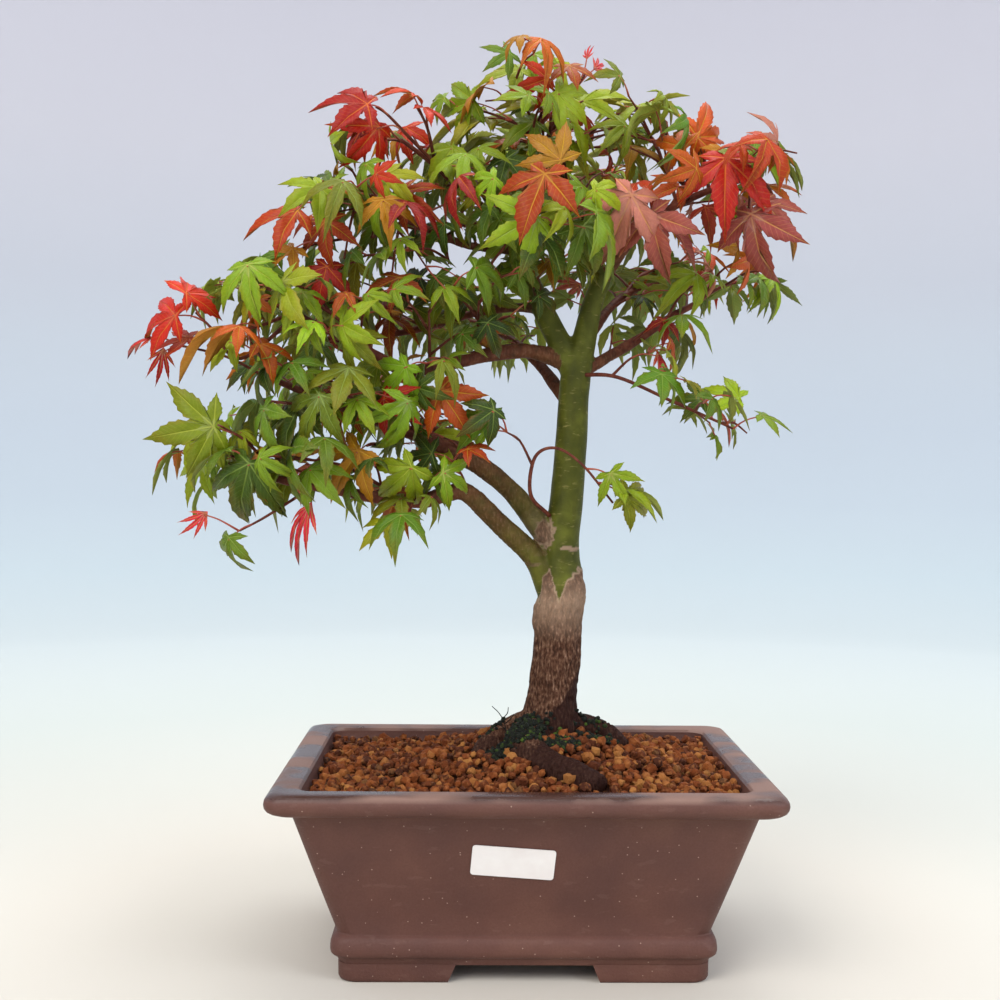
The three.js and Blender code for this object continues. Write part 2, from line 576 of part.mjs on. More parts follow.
// Shoots with leaves placed one by one: x, y, z of the junction, heading of the middle lobe (0 right,
// 90 up), tilt of the face (0 to the front, 90 to the sky), length of the middle lobe, and the place
// of the stalk on the twig.
const { green, gold, orange, red, pink } = COLOURS;
const SHOOTS = [
  {
    name: "shoot_left_red", colour: red, size: 22, pairs: 0,
    route: [[-122, -36, 344], [-150, -44, 320], [-164, -50, 335], [-172, -52, 343]],
    leaves: [[-176, -56, 352, 40, 40, 29, 1], [-181, -58, 340, 172, 62, 30, 0.9],
      [-176, -46, 330, 205, 80, 24, 0.75]],
  },
  {
    name: "shoot_left_orange", colour: orange, size: 24, pairs: 1,
    route: [[-124, -36, 345], [-140, -52, 336], [-150, -58, 334]],
    leaves: [[-150, -64, 334, 186, 52, 36, 1], [-138, -66, 327, 20, 70, 26, 0.7]],
  },
  {
    name: "shoot_left_buds", colour: pink, size: 20, pairs: 0, radii: [0.9, 0.6],
    route: [[-142, -26, 313], [-160, -32, 322], [-182, -38, 327], [-190, -40, 329]],
    leaves: [[-196, -42, 330, 178, 50, 18, 1], [-192, -36, 325, 265, 15, 22, 1]],
  },
  {
    name: "shoot_upper_left_orange", colour: orange, size: 24, pairs: 0,
    route: [[-95, -36, 406], [-108, -42, 402], [-114, -46, 401]],
    leaves: [[-120, -50, 396, 196, 35, 33, 1], [-104, -52, 408, 60, 30, 26, 0.6],
      [-106, -44, 392, 275, 10, 28, 0.7]],
  },
  {
    name: "shoot_crown_left_red", colour: red, size: 26, pairs: 0,
    route: [[-38, -8, 418], [-62, -34, 437], [-74, -46, 447], [-80, -50, 450]],
    leaves: [[-84, -54, 450, 176, 40, 37, 1], [-79, -56, 444, 238, 10, 30, 1]],
  },
  {
    name: "shoot_crown_left_tip", colour: red, size: 24, pairs: 0,
    route: [[-50, -18, 427], [-54, -32, 444], [-60, -40, 454]],
    leaves: [[-60, -44, 459, 150, 45, 23, 1], [-56, -46, 455, -35, 35, 21, 1]],
  },
  {
    name: "shoot_crown_buds", colour: pink, size: 18, pairs: 0, radii: [1.6, 0.8],
    route: [[9.5, 0, 442], [16, -6, 457], [25, -10, 470], [31, -12, 479]],
    leaves: [[32, -12, 487, 92, 5, 15, 1], [36, -14, 484, 38, 20, 25, 1],
      [22, -18, 462, 200, 50, 20, 0.45]],
  },
  {
    name: "shoot_crown_gold", colour: gold, size: 30, pairs: 2, seed: 3,
    route: [[14, 1, 435], [12, -14, 446], [12, -26, 452]],
    leaves: [[10, -32, 456, 145, 30, 33, 1],
      [28, -20, 462, 22, 35, 30, 0.6]],
  },
  {
    name: "shoot_crown_right_orange", colour: orange, size: 30, pairs: 0,
    route: [[76, -24, 404], [88, -30, 424], [90, -36, 436]],
    leaves: [[88, -42, 438, 20, 38, 32, 1], [84, -34, 446, 30, 55, 38, 1],
      [80, -46, 432, 145, 30, 26, 0.7]],
  },
  {
    name: "shoot_right_red", colour: red, size: 36, pairs: 0,
    route: [[98, -34, 413], [100, -50, 416], [98, -62, 422]],
    leaves: [[98, -70, 421, 266, 22, 42, 1], [92, -46, 402, 30, 60, 26, 0.3]],
  },
  {
    name: "shoot_right_pink", colour: pink, size: 36, pairs: 0,
    route: [[118, -42, 417], [114, -54, 408], [112, -60, 398]],
    leaves: [[112, -66, 394, 262, 18, 40, 1], [122, -48, 404, 300, 30, 30, 0.5]],
  },
  {
    name: "shoot_right_gold", colour: orange, size: 32, pairs: 0,
    route: [[118, -42, 418], [126, -38, 414], [130, -34, 410]],
    leaves: [[128, -36, 409, -5, 60, 40, 1], [128, -30, 418, 22, 66, 30, 0.8]],
  },
  {
    name: "shoot_centre_orange", colour: orange, size: 34, pairs: 0,
    route: [[-8, -58, 397], [0, -74, 410], [8, -80, 413]],
    leaves: [[6, -90, 408, 250, 12, 40, 1], [14, -86, 418, 130, 25, 28, 0.9]],
  },
  {
    name: "shoot_centre_pink", colour: pink, size: 36, pairs: 0,
    route: [[52, -8, 384], [52, -40, 398], [50, -66, 404]],
    leaves: [[50, -76, 401, 245, 8, 42, 1], [60, -78, 396, 280, 12, 38, 1],
      [64, -60, 398, -30, 35, 36, 0.8]],
  },
  {
    name: "shoot_front_gold", colour: gold, size: 30, pairs: 1, seed: 5,
    route: [[-42, -13, 250], [-48, -32, 258], [-54, -46, 262]],
    leaves: [[-60, -52, 264, 228, 20, 31, 1], [-44, -50, 262, -25, 30, 27, 0.9]],
  },
  {
    name: "shoot_front_green", colour: green, size: 34, pairs: 1, seed: 6,
    route: [[-86, -15, 291], [-92, -40, 300], [-98, -58, 304]],
    leaves: [[-106, -66, 300, 238, 22, 33, 1], [-92, -62, 314, 262, 40, 32, 1],
      [-62, -56, 298, 268, 15, 33, 0.7]],
  },
  {
    name: "shoot_front_bronze", colour: orange, size: 34, pairs: 0,
    route: [[-68, -12, 285], [-76, -32, 278], [-84, -44, 275]],
    leaves: [[-88, -50, 273, 228, 15, 36, 1], [-46, -46, 304, 300, 22, 31, 0.4]],
  },
  {
    name: "shoot_left_gold", colour: gold, size: 30, pairs: 1, seed: 8,
    route: [[-131, -34, 257], [-146, -44, 276], [-158, -50, 284]],
    leaves: [[-162, -54, 284, 196, 32, 40, 1],
      [-168, -46, 290, 232, 45, 34, 0.8]],
  },
  {
    name: "shoot_low_hanging", colour: green, size: 26, pairs: 0, radii: [0.9, 0.5],
    route: [[-114, -32, 253], [-136, -42, 238], [-150, -46, 230]],
    leaves: [[-156, -50, 226, 262, 5, 30, 1], [-112, -54, 244, 240, 25, 32, 0.3],
      [-168, -44, 240, 228, 20, 20, 1]],
  },
  {
    name: "shoot_right_long", colour: green, size: 22, pairs: 0, radii: [1.3, 0.6],
    route: [[30, -4, 316], [50, -16, 314], [80, -26, 300], [104, -32, 289], [110, -34, 286]],
    leaves: [[112, -38, 302, 150, 40, 24, 1], [124, -40, 294, -12, 25, 28, 1],
      [96, -22, 302, 165, 50, 22, 0.8]],
  },
  {
    name: "shoot_front_curl", colour: gold, size: 22, pairs: 0, radii: [1.5, 0.6],
    route: [[14, -6, 238], [3, -18, 250], [5, -24, 270], [16, -28, 275], [30, -34, 266], [46, -38, 246]],
    leaves: [[60, -42, 254, -20, 25, 34, 1], [58, -40, 264, 28, 45, 26, 1],
      [42, -46, 284, 296, 18, 30, 0.7]],
  },
];

// The sprays that fill the canopy: each leaves a bough and carries pairs of leaves to its tip.
const SPRAYS = [
  { bough: "bough_lower_left", at: 0.55, reach: [-62, -20, 22], pairs: 3, size: 36, colour: green },
  { bough: "bough_lower_left", at: 0.8, reach: [-50, 30, 12], pairs: 3, size: 33, colour: green },
  { bough: "bough_middle_left", at: 0.6, reach: [-58, -26, 12], pairs: 3, size: 36, colour: green },
  { bough: "bough_middle_left_back", at: 0.5, reach: [-66, 42, 20], pairs: 3, size: 36, colour: green },
  { bough: "bough_upper_left", at: 0.55, reach: [-58, -30, 34], pairs: 3, size: 35, colour: gold },
  { bough: "bough_left_back", at: 0.5, reach: [-70, 34, 16], pairs: 3, size: 37, colour: green },
  { bough: "bough_left_high", at: 0.45, reach: [-60, -4, 22], pairs: 3, size: 35, colour: green },
  { bough: "stem_left", at: 0.95, reach: [-24, 30, 28], pairs: 3, size: 35, colour: gold },
  { bough: "leader", at: 0.6, reach: [-34, -30, 34], pairs: 3, size: 35, colour: gold },
  { bough: "bough_upper_right", at: 0.5, reach: [50, 4, 28], pairs: 3, size: 36, colour: green },
  { bough: "bough_right", at: 0.7, reach: [46, 6, 18], pairs: 3, size: 34, colour: green },
  { bough: "bough_back_left", at: 0.5, reach: [-44, 58, 22], pairs: 3, size: 37, colour: green },
  { bough: "bough_back_right", at: 0.5, reach: [34, 56, 24], pairs: 3, size: 37, colour: green },
  { bough: "bough_crown_back", at: 0.4, reach: [0, 56, 26], pairs: 3, size: 35, colour: gold },
  { bough: "bough_front", at: 0.35, reach: [10, -56, 6], pairs: 3, size: 35, colour: green },
];

/** The settings of a spray's shoot, from the bough it leaves and how far it reaches. */
function spray({ bough, at, reach, ...rest }, index) {
  const from = along(BOUGHS.find((b) => b.name === bough).route, at).point;
  const way = new THREE.Vector3(...reach);
  const middle = from.clone().addScaledVector(way, 0.5).add(new THREE.Vector3(0, 0, way.length() * 0.1));
  const route = [from, middle, from.clone().add(way)].map((p) => p.toArray());
  return { name: `spray_${String(index + 1).padStart(2, "0")}`, route, seed: index + 11, ...rest };
}

// ---------------------------------------------------------------- the whole plant
const plant = new THREE.Group();
plant.add(piece("pot", makePot(), COLOURS.clay, 0.6));
plant.add(piece("blank_label", makeLabel(), COLOURS.label, 0.5));
for (const [side, x] of [["left", -DRAIN.x], ["right", DRAIN.x]]) {
  plant.add(piece(`drain_screen_${side}`, makeScreen(x), COLOURS.plastic, 0.7));
  plant.add(piece(`screen_wire_${side}`, makeScreenWire(x), COLOURS.wire, 0.4, 0.8));
}

const trunk = makeTrunk();
const trunkRoom = makeTrunk(GAP);
plant.add(piece("trunk", trunk, COLOURS.bark, 0.85));
plant.add(piece("soil_bed", makeSoil(trunkRoom), COLOURS.soil, 0.95));
plant.add(piece("moss_cushion", makeMoss(trunkRoom), COLOURS.moss, 0.95));

let woodRoom = trunkRoom;
for (const bough of BOUGHS) {
  const sides = bough.radii[0] > 4 ? 8 : 6;
  const made = largest(stem(bough.route, taper(bough), sides, 1).subtract(woodRoom));
  woodRoom = woodRoom.add(stem(bough.route, taper(bough), sides, 1, GAP));
  plant.add(piece(bough.name, made, bough.radii[0] > 4 ? COLOURS.greenBark : COLOURS.brownBark, 0.6));
}
remember(woodRoom);

const shoots = [...SHOOTS, ...SPRAYS.map(spray)].map((settings) => {
  const shoot = new Shoot(settings, woodRoom);
  woodRoom = woodRoom.add(shoot.room());
  return shoot;
});
shoots.forEach((shoot) => shoot.growLeaves());
shoots.forEach((shoot) => plant.add(piece(shoot.name, shoot.made, shoot.colour, 0.5)));
console.log(`${shoots.reduce((sum, shoot) => sum + shoot.blades.length, 0)} leaves`);

plant.updateMatrixWorld(true);
const box = new THREE.Box3().setFromObject(plant, true);
plant.position.set(-(box.min.x + box.max.x) / 2, -(box.min.y + box.max.y) / 2, -box.min.z);

export default plant;
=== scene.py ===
"""A Japanese maple bonsai in a footed stoneware pot: the finished looks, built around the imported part.

Lengths are millimetres in the pot's own frame (origin under the pot's middle, +X right, +Y back, +Z up)
until Place turns them into the row's metres.
"""

import json
import logging
import math
import random
from dataclasses import dataclass, field, replace
from enum import Enum
from functools import partial
from typing import Callable, Iterable, Optional, Sequence

import bmesh
import bpy
import numpy as np
from mathutils import Matrix, Vector, kdtree, noise
from mathutils.bvhtree import BVHTree


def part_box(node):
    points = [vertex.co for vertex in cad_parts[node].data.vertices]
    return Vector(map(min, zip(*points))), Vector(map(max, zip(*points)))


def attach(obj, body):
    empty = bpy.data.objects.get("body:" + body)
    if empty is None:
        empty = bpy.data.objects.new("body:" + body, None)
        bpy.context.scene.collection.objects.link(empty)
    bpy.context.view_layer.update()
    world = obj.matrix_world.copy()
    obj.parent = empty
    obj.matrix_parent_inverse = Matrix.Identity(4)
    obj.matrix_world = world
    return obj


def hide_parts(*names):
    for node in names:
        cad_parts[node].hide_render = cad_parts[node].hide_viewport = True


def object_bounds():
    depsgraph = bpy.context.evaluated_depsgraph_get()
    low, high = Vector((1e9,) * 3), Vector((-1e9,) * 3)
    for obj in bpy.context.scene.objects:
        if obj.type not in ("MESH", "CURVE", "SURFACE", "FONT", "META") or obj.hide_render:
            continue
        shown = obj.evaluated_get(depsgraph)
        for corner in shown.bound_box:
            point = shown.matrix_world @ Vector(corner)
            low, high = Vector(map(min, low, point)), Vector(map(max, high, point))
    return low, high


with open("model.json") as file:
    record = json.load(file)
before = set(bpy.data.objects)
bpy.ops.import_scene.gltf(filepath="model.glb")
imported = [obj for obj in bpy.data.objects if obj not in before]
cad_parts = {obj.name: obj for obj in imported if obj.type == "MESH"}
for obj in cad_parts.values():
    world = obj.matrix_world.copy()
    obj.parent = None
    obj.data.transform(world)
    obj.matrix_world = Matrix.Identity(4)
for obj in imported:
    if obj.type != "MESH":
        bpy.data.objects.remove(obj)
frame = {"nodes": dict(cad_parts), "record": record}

CAD_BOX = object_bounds()
MM = 0.001
UP = Vector((0.0, 0.0, 1.0))
# The range of a random angle, in radians.
TURN = 6.283
HALF_TURN = 3.14

logging.basicConfig(level=logging.INFO, format="%(message)s")
log = logging.getLogger("bonsai")


# ---------------------------------------------------------------- place, colour and pieces
class Place:
    """Turns pot-frame millimetres into the row's metres."""

    low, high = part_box("pot")
    origin = Vector(((low[0] + high[0]) / 2, (low[1] + high[1]) / 2, low[2]))

    @classmethod
    def row(cls, point: Sequence[float]) -> Vector:
        """The row-frame position of a pot-frame point."""
        return cls.origin + Vector(point) * MM

    @classmethod
    def pot(cls, point: Sequence[float]) -> Vector:
        """The pot-frame position of a row-frame point."""
        return (Vector(point) - cls.origin) / MM


def linear(code: str) -> tuple[float, float, float, float]:
    """Turns an sRGB hex colour to linear.

    Args:
        code: six hex digits after a hash.

    Returns:
        The linear red, green, blue and alpha.
    """
    parts = [int(code[k : k + 2], 16) / 255 for k in (1, 3, 5)]
    low = [c / 12.92 if c <= 0.04045 else ((c + 0.055) / 1.055) ** 2.4 for c in parts]
    return (*low, 1.0)


def feed(socket: bpy.types.NodeSocket, value: object) -> None:
    """Links an input to a socket, or sets it to a number or an sRGB hex colour.

    Args:
        socket: the input.
        value: what feeds it.
    """
    if isinstance(value, bpy.types.NodeSocket):
        socket.id_data.links.new(value, socket)
    else:
        socket.default_value = linear(value) if isinstance(value, str) else value


def add_node(
    tree: bpy.types.NodeTree, kind: str, *values: object, output: Optional[str] = None, **settings: object
) -> bpy.types.NodeSocket:
    """Adds one shader node.

    Args:
        tree: the material's node tree.
        kind: the node's type without its ShaderNode prefix, and its operation or blend type after a point.
        *values: what feeds the node's inputs in order: sockets, numbers or hex colours.
        output: the name of the output to return, if it isn't the first.
        **settings: more inputs by name, attributes of the node, or the stops of a colour ramp.

    Returns:
        The chosen output.
    """
    kind, _, operation = kind.partition(".")
    node = tree.nodes.new("ShaderNode" + kind)
    if operation and kind == "Mix":
        settings |= {"data_type": "RGBA", "blend_type": operation}
    elif operation:
        settings["operation"] = operation
    feeds = {name: settings.pop(name) for name in list(settings) if name in node.inputs}
    for stop, (position, code) in enumerate(settings.pop("stops", ())):
        elements = node.color_ramp.elements
        element = elements[stop] if stop < len(elements) else elements.new(position)
        element.position, element.color = position, linear(code)
    for name, value in settings.items():
        setattr(node, name, value)
    enabled = [socket for socket in node.inputs if socket.enabled]
    for socket, value in zip(enabled, values):
        feed(socket, value)
    for name, value in feeds.items():
        feed(node.inputs[name], value)
    return node.outputs[output] if output else next(socket for socket in node.outputs if socket.enabled)


AddNode = Callable[..., bpy.types.NodeSocket]


@dataclass(frozen=True)
class Finish:
    """A surface finish: a named material with one principled shader.

    Attributes:
        name: the material's name.
        roughness: the shader's own roughness where nothing is linked.
        ior: index of refraction.
    """

    name: str
    roughness: float = 0.6
    ior: float = 1.45

    def start(self) -> tuple[bpy.types.Material, AddNode, bpy.types.Node]:
        """Starts the material.

        Returns:
            It, a function that adds nodes to it, and its shader.
        """
        material = bpy.data.materials.new(self.name)
        material.use_nodes = True
        tree = material.node_tree
        shader = tree.nodes["Principled BSDF"]
        shader.inputs["Roughness"].default_value = self.roughness
        shader.inputs["IOR"].default_value = self.ior
        return material, partial(add_node, tree), shader

    @staticmethod
    def object_point(node: AddNode, stretch: Sequence[float] = (1, 1, 1)) -> bpy.types.NodeSocket:
        """Object coordinates in millimetres.

        Args:
            node: adds a node to the material.
            stretch: what the coordinates are divided by along each axis.

        Returns:
            The scaled coordinates.
        """
        scale = [1 / (MM * s) for s in stretch]
        return node("Mapping", node("TexCoord", output="Object"), Scale=scale)


def make_piece(
    bm: bmesh.types.BMesh,
    name: str,
    finishes: Iterable[bpy.types.Material],
    stands_for: Sequence[str] = (),
    sharp_degrees: float = 180.0,
) -> bpy.types.Object:
    """Turns a bmesh in the row's metres into a piece that rides on the root body.

    Args:
        bm: the finished bmesh, which is freed.
        name: the piece's name.
        finishes: its materials in slot order.
        stands_for: CAD nodes that the piece replaces.
        sharp_degrees: edges sharper than this are shaded sharp.

    Returns:
        The new object.
    """
    mesh = bpy.data.meshes.new(name)
    bm.to_mesh(mesh)
    bm.free()
    return dress(mesh, name, finishes, stands_for, sharp_degrees)


def dress(
    mesh: bpy.types.Mesh,
    name: str,
    finishes: Iterable[bpy.types.Material],
    stands_for: Sequence[str] = (),
    sharp_degrees: float = 180.0,
) -> bpy.types.Object:
    """Makes a piece from a finished mesh.

    Args:
        mesh: the mesh.
        name: the piece's name.
        finishes: its materials in slot order.
        stands_for: CAD nodes that the piece replaces.
        sharp_degrees: edges sharper than this are shaded sharp.

    Returns:
        The new object.
    """
    for finish in finishes:
        mesh.materials.append(finish)
    mesh.polygons.foreach_set("use_smooth", [True] * len(mesh.polygons))
    if sharp_degrees < 180:
        mesh.set_sharp_from_angle(angle=math.radians(sharp_degrees))
    piece = bpy.data.objects.new(name, mesh)
    bpy.context.scene.collection.objects.link(piece)
    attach(piece, "root")
    if stands_for:
        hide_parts(*stands_for)
    log.info("%s: %d faces", name, len(mesh.polygons))
    return piece


def baked(piece: bpy.types.Object) -> bpy.types.Mesh:
    """Applies the modifiers of an object.

    Args:
        piece: the object, which keeps them.

    Returns:
        A new mesh with its final shape.
    """
    bpy.context.view_layer.update()
    evaluated = piece.evaluated_get(bpy.context.evaluated_depsgraph_get())
    return bpy.data.meshes.new_from_object(evaluated)


def scratch(bm: bmesh.types.BMesh, name: str) -> bpy.types.Object:
    """Makes a helper object for a modifier.

    Args:
        bm: its bmesh, which is freed.
        name: its name.

    Returns:
        The helper.
    """
    mesh = bpy.data.meshes.new(name)
    bm.to_mesh(mesh)
    bm.free()
    helper = bpy.data.objects.new(name, mesh)
    bpy.context.scene.collection.objects.link(helper)
    return helper


def discard(*helpers: bpy.types.Object) -> None:
    """Removes helper objects and their meshes.

    Args:
        *helpers: the objects.
    """
    for helper in helpers:
        mesh = helper.data
        bpy.data.objects.remove(helper)
        bpy.data.meshes.remove(mesh)


# ---------------------------------------------------------------- lines and tubes
def smooth_line(route: Sequence[Sequence[float]], per_span: int) -> list[Vector]:
    """Points on a Catmull-Rom curve through a route.

    Args:
        route: the points that the curve passes.
        per_span: points made between each two of them.

    Returns:
        The curve's points, both ends included.
    """
    points = [Vector(p) for p in route]
    points = [2 * points[0] - points[1], *points, 2 * points[-1] - points[-2]]
    made = []
    for k in range(1, len(points) - 2):
        p0, p1, p2, p3 = points[k - 1 : k + 3]
        for step in range(per_span):
            t = step / per_span
            made.append(
                0.5
                * (
                    2 * p1
                    + (p2 - p0) * t
                    + (2 * p0 - 5 * p1 + 4 * p2 - p3) * t * t
                    + (3 * p1 - p0 - 3 * p2 + p3) * t**3
                )
            )
    return [*made, points[-2]]


def spread(values: Sequence[float], count: int) -> list[float]:
    """Values spaced evenly over a line, read at count even steps."""
    return list(np.interp(np.linspace(0, 1, count), np.linspace(0, 1, len(values)), values))


def extrude_ring(
    bm: bmesh.types.BMesh, edges: Sequence[bmesh.types.BMEdge]
) -> tuple[list[bmesh.types.BMEdge], list[bmesh.types.BMVert]]:
    """Extrudes a ring of edges where it stands.

    Args:
        bm: the bmesh it belongs to.
        edges: the ring.

    Returns:
        The new ring's edges and its vertices.
    """
    made = bmesh.ops.extrude_edge_only(bm, edges=edges)["geom"]
    verts = [item for item in made if isinstance(item, bmesh.types.BMVert)]
    ends = set(verts)
    new = [item for item in made if isinstance(item, bmesh.types.BMEdge)]
    return [edge for edge in new if edge.verts[0] in ends and edge.verts[1] in ends], verts


def grow_tube(bm: bmesh.types.BMesh, line: Sequence[Vector], radii: Sequence[float], sides: int) -> None:
    """Extrudes a closed tube along a line.

    Args:
        bm: the bmesh it is added to.
        line: centre points in pot-frame millimetres.
        radii: a radius in millimetres for each point.
        sides: edges of the ring.
    """
    across = Vector((0.3, 1.0, 0.2)).cross(line[1] - line[0]).normalized()
    last: Optional[Matrix] = None
    edges: list[bmesh.types.BMEdge] = []
    for k, (point, radius) in enumerate(zip(line, radii)):
        heading = (line[min(k + 1, len(line) - 1)] - line[max(k - 1, 0)]).normalized()
        across = (across - heading * across.dot(heading)).normalized()
        turned = Matrix((across, heading.cross(across), heading)).transposed().to_4x4()
        size = Matrix.Diagonal((radius * MM,) * 3).to_4x4()
        here = Matrix.Translation(Place.row(point)) @ turned @ size
        if last is None:
            ring = bmesh.ops.create_circle(bm, segments=sides, radius=1.0, cap_ends=True, matrix=here)
            cap = ring["verts"][0].link_faces[0]
            bmesh.ops.reverse_faces(bm, faces=[cap])
            edges = list(cap.edges)
        else:
            edges, verts = extrude_ring(bm, edges)
            bmesh.ops.transform(bm, matrix=here @ last.inverted(), verts=verts)
        last = here
    bmesh.ops.contextual_create(bm, geom=edges)


# ---------------------------------------------------------------- the pot
@dataclass(frozen=True)
class UnglazedStoneware(Finish):
    """Dark red-brown stoneware, pressed and fired without a glaze.

    Matt, with fine pale grog specks and faint scuffs; water has darkened and glossed patches of the rim, and
    a paler, greyer painted sheen covers the rest of its upward faces.
    """

    name: str = "unglazed_stoneware"
    roughness: float = 0.62
    rim_height: float = 99.0

    def material(self) -> bpy.types.Material:
        """Builds the material.

        Returns:
            The material, ready for a piece's slots.
        """
        material, node, shader = self.start()
        point = self.object_point(node)
        cloud = node("TexNoise", point, Scale=1 / 38, Detail=4)
        body = node("ValToRGB", cloud, stops=((0.3, "#56352e"), (0.55, "#623d33"), (0.75, "#6e483b")))
        fine = node("TexNoise", point, Scale=1 / 1.1, Detail=2)
        body = node("Mix.MIX", node("Math.MULTIPLY", fine, 0.4), body, "#48291f")
        # Grog: pale grains about half a millimetre across, one every few millimetres.
        cells = {"Scale": 1 / 4.2, "Randomness": 1.0}
        near = node("Math.LESS_THAN", node("TexVoronoi", point, **cells), 0.085)
        pick = node("TexVoronoi", point, output="Color", **cells)
        keep = node("Math.GREATER_THAN", pick, 0.52)
        grog = node("Math.MULTIPLY", near, node("Math.MULTIPLY", keep, 0.75))
        body = node("Mix.MIX", grog, body, "#a98d7d")
        # Scuffs: faint pale strokes where the pot has been handled.
        long_point = self.object_point(node, (11, 11, 4))
        scuff = node("TexNoise", long_point, Scale=1 / 1.0, Detail=3)
        scuff = node("Math.MULTIPLY", node("Math.SUBTRACT", scuff, 0.64), 4.0)
        scuff = node("Math.SMOOTH_MIN", scuff, 0.1, 0.1)
        body = node("Mix.MIX", node("Math.MAXIMUM", scuff, 0.0), body, "#8a6b60")
        # The rim's upward faces: a paler, greyer painted sheen where dry, dark and glossy where wet.
        normal = node("NewGeometry", output="Normal")
        height = node("SeparateXYZ", normal, output="Z")
        z = node("SeparateXYZ", point, output="Z")
        top = node("Math.MULTIPLY", node("Math.SUBTRACT", height, 0.35), 2.2, use_clamp=True)
        top = node("Math.MULTIPLY", top, node("Math.GREATER_THAN", z, self.rim_height))
        wet = node("TexNoise", self.object_point(node, (1.6, 1, 1)), Scale=1 / 34, Detail=2)
        wet = node("Math.MULTIPLY", node("Math.SUBTRACT", wet, 0.46), 9.0, use_clamp=True)
        # Painted sheen: the dry colour paints the light's sheen on the rim's top; the dark wet colour is real
        # damp.
        rim = node("Mix.MIX", wet, "#86685c", "#48302a")
        colour = node("Mix.MIX", top, body, rim)
        feed(shader.inputs["Base Color"], colour)
        gloss = node("Math.MULTIPLY", top, node("Math.MULTIPLY", wet, 0.4))
        rough = node("Math.SUBTRACT", node("Math.ADD", 0.52, node("Math.MULTIPLY", fine, 0.2)), gloss)
        feed(shader.inputs["Roughness"], rough)
        relief = node("Math.ADD", fine, node("Math.MULTIPLY", cloud, 2.0))
        feed(shader.inputs["Normal"], node("Bump", Height=relief, Distance=0.16 * MM))
        return material


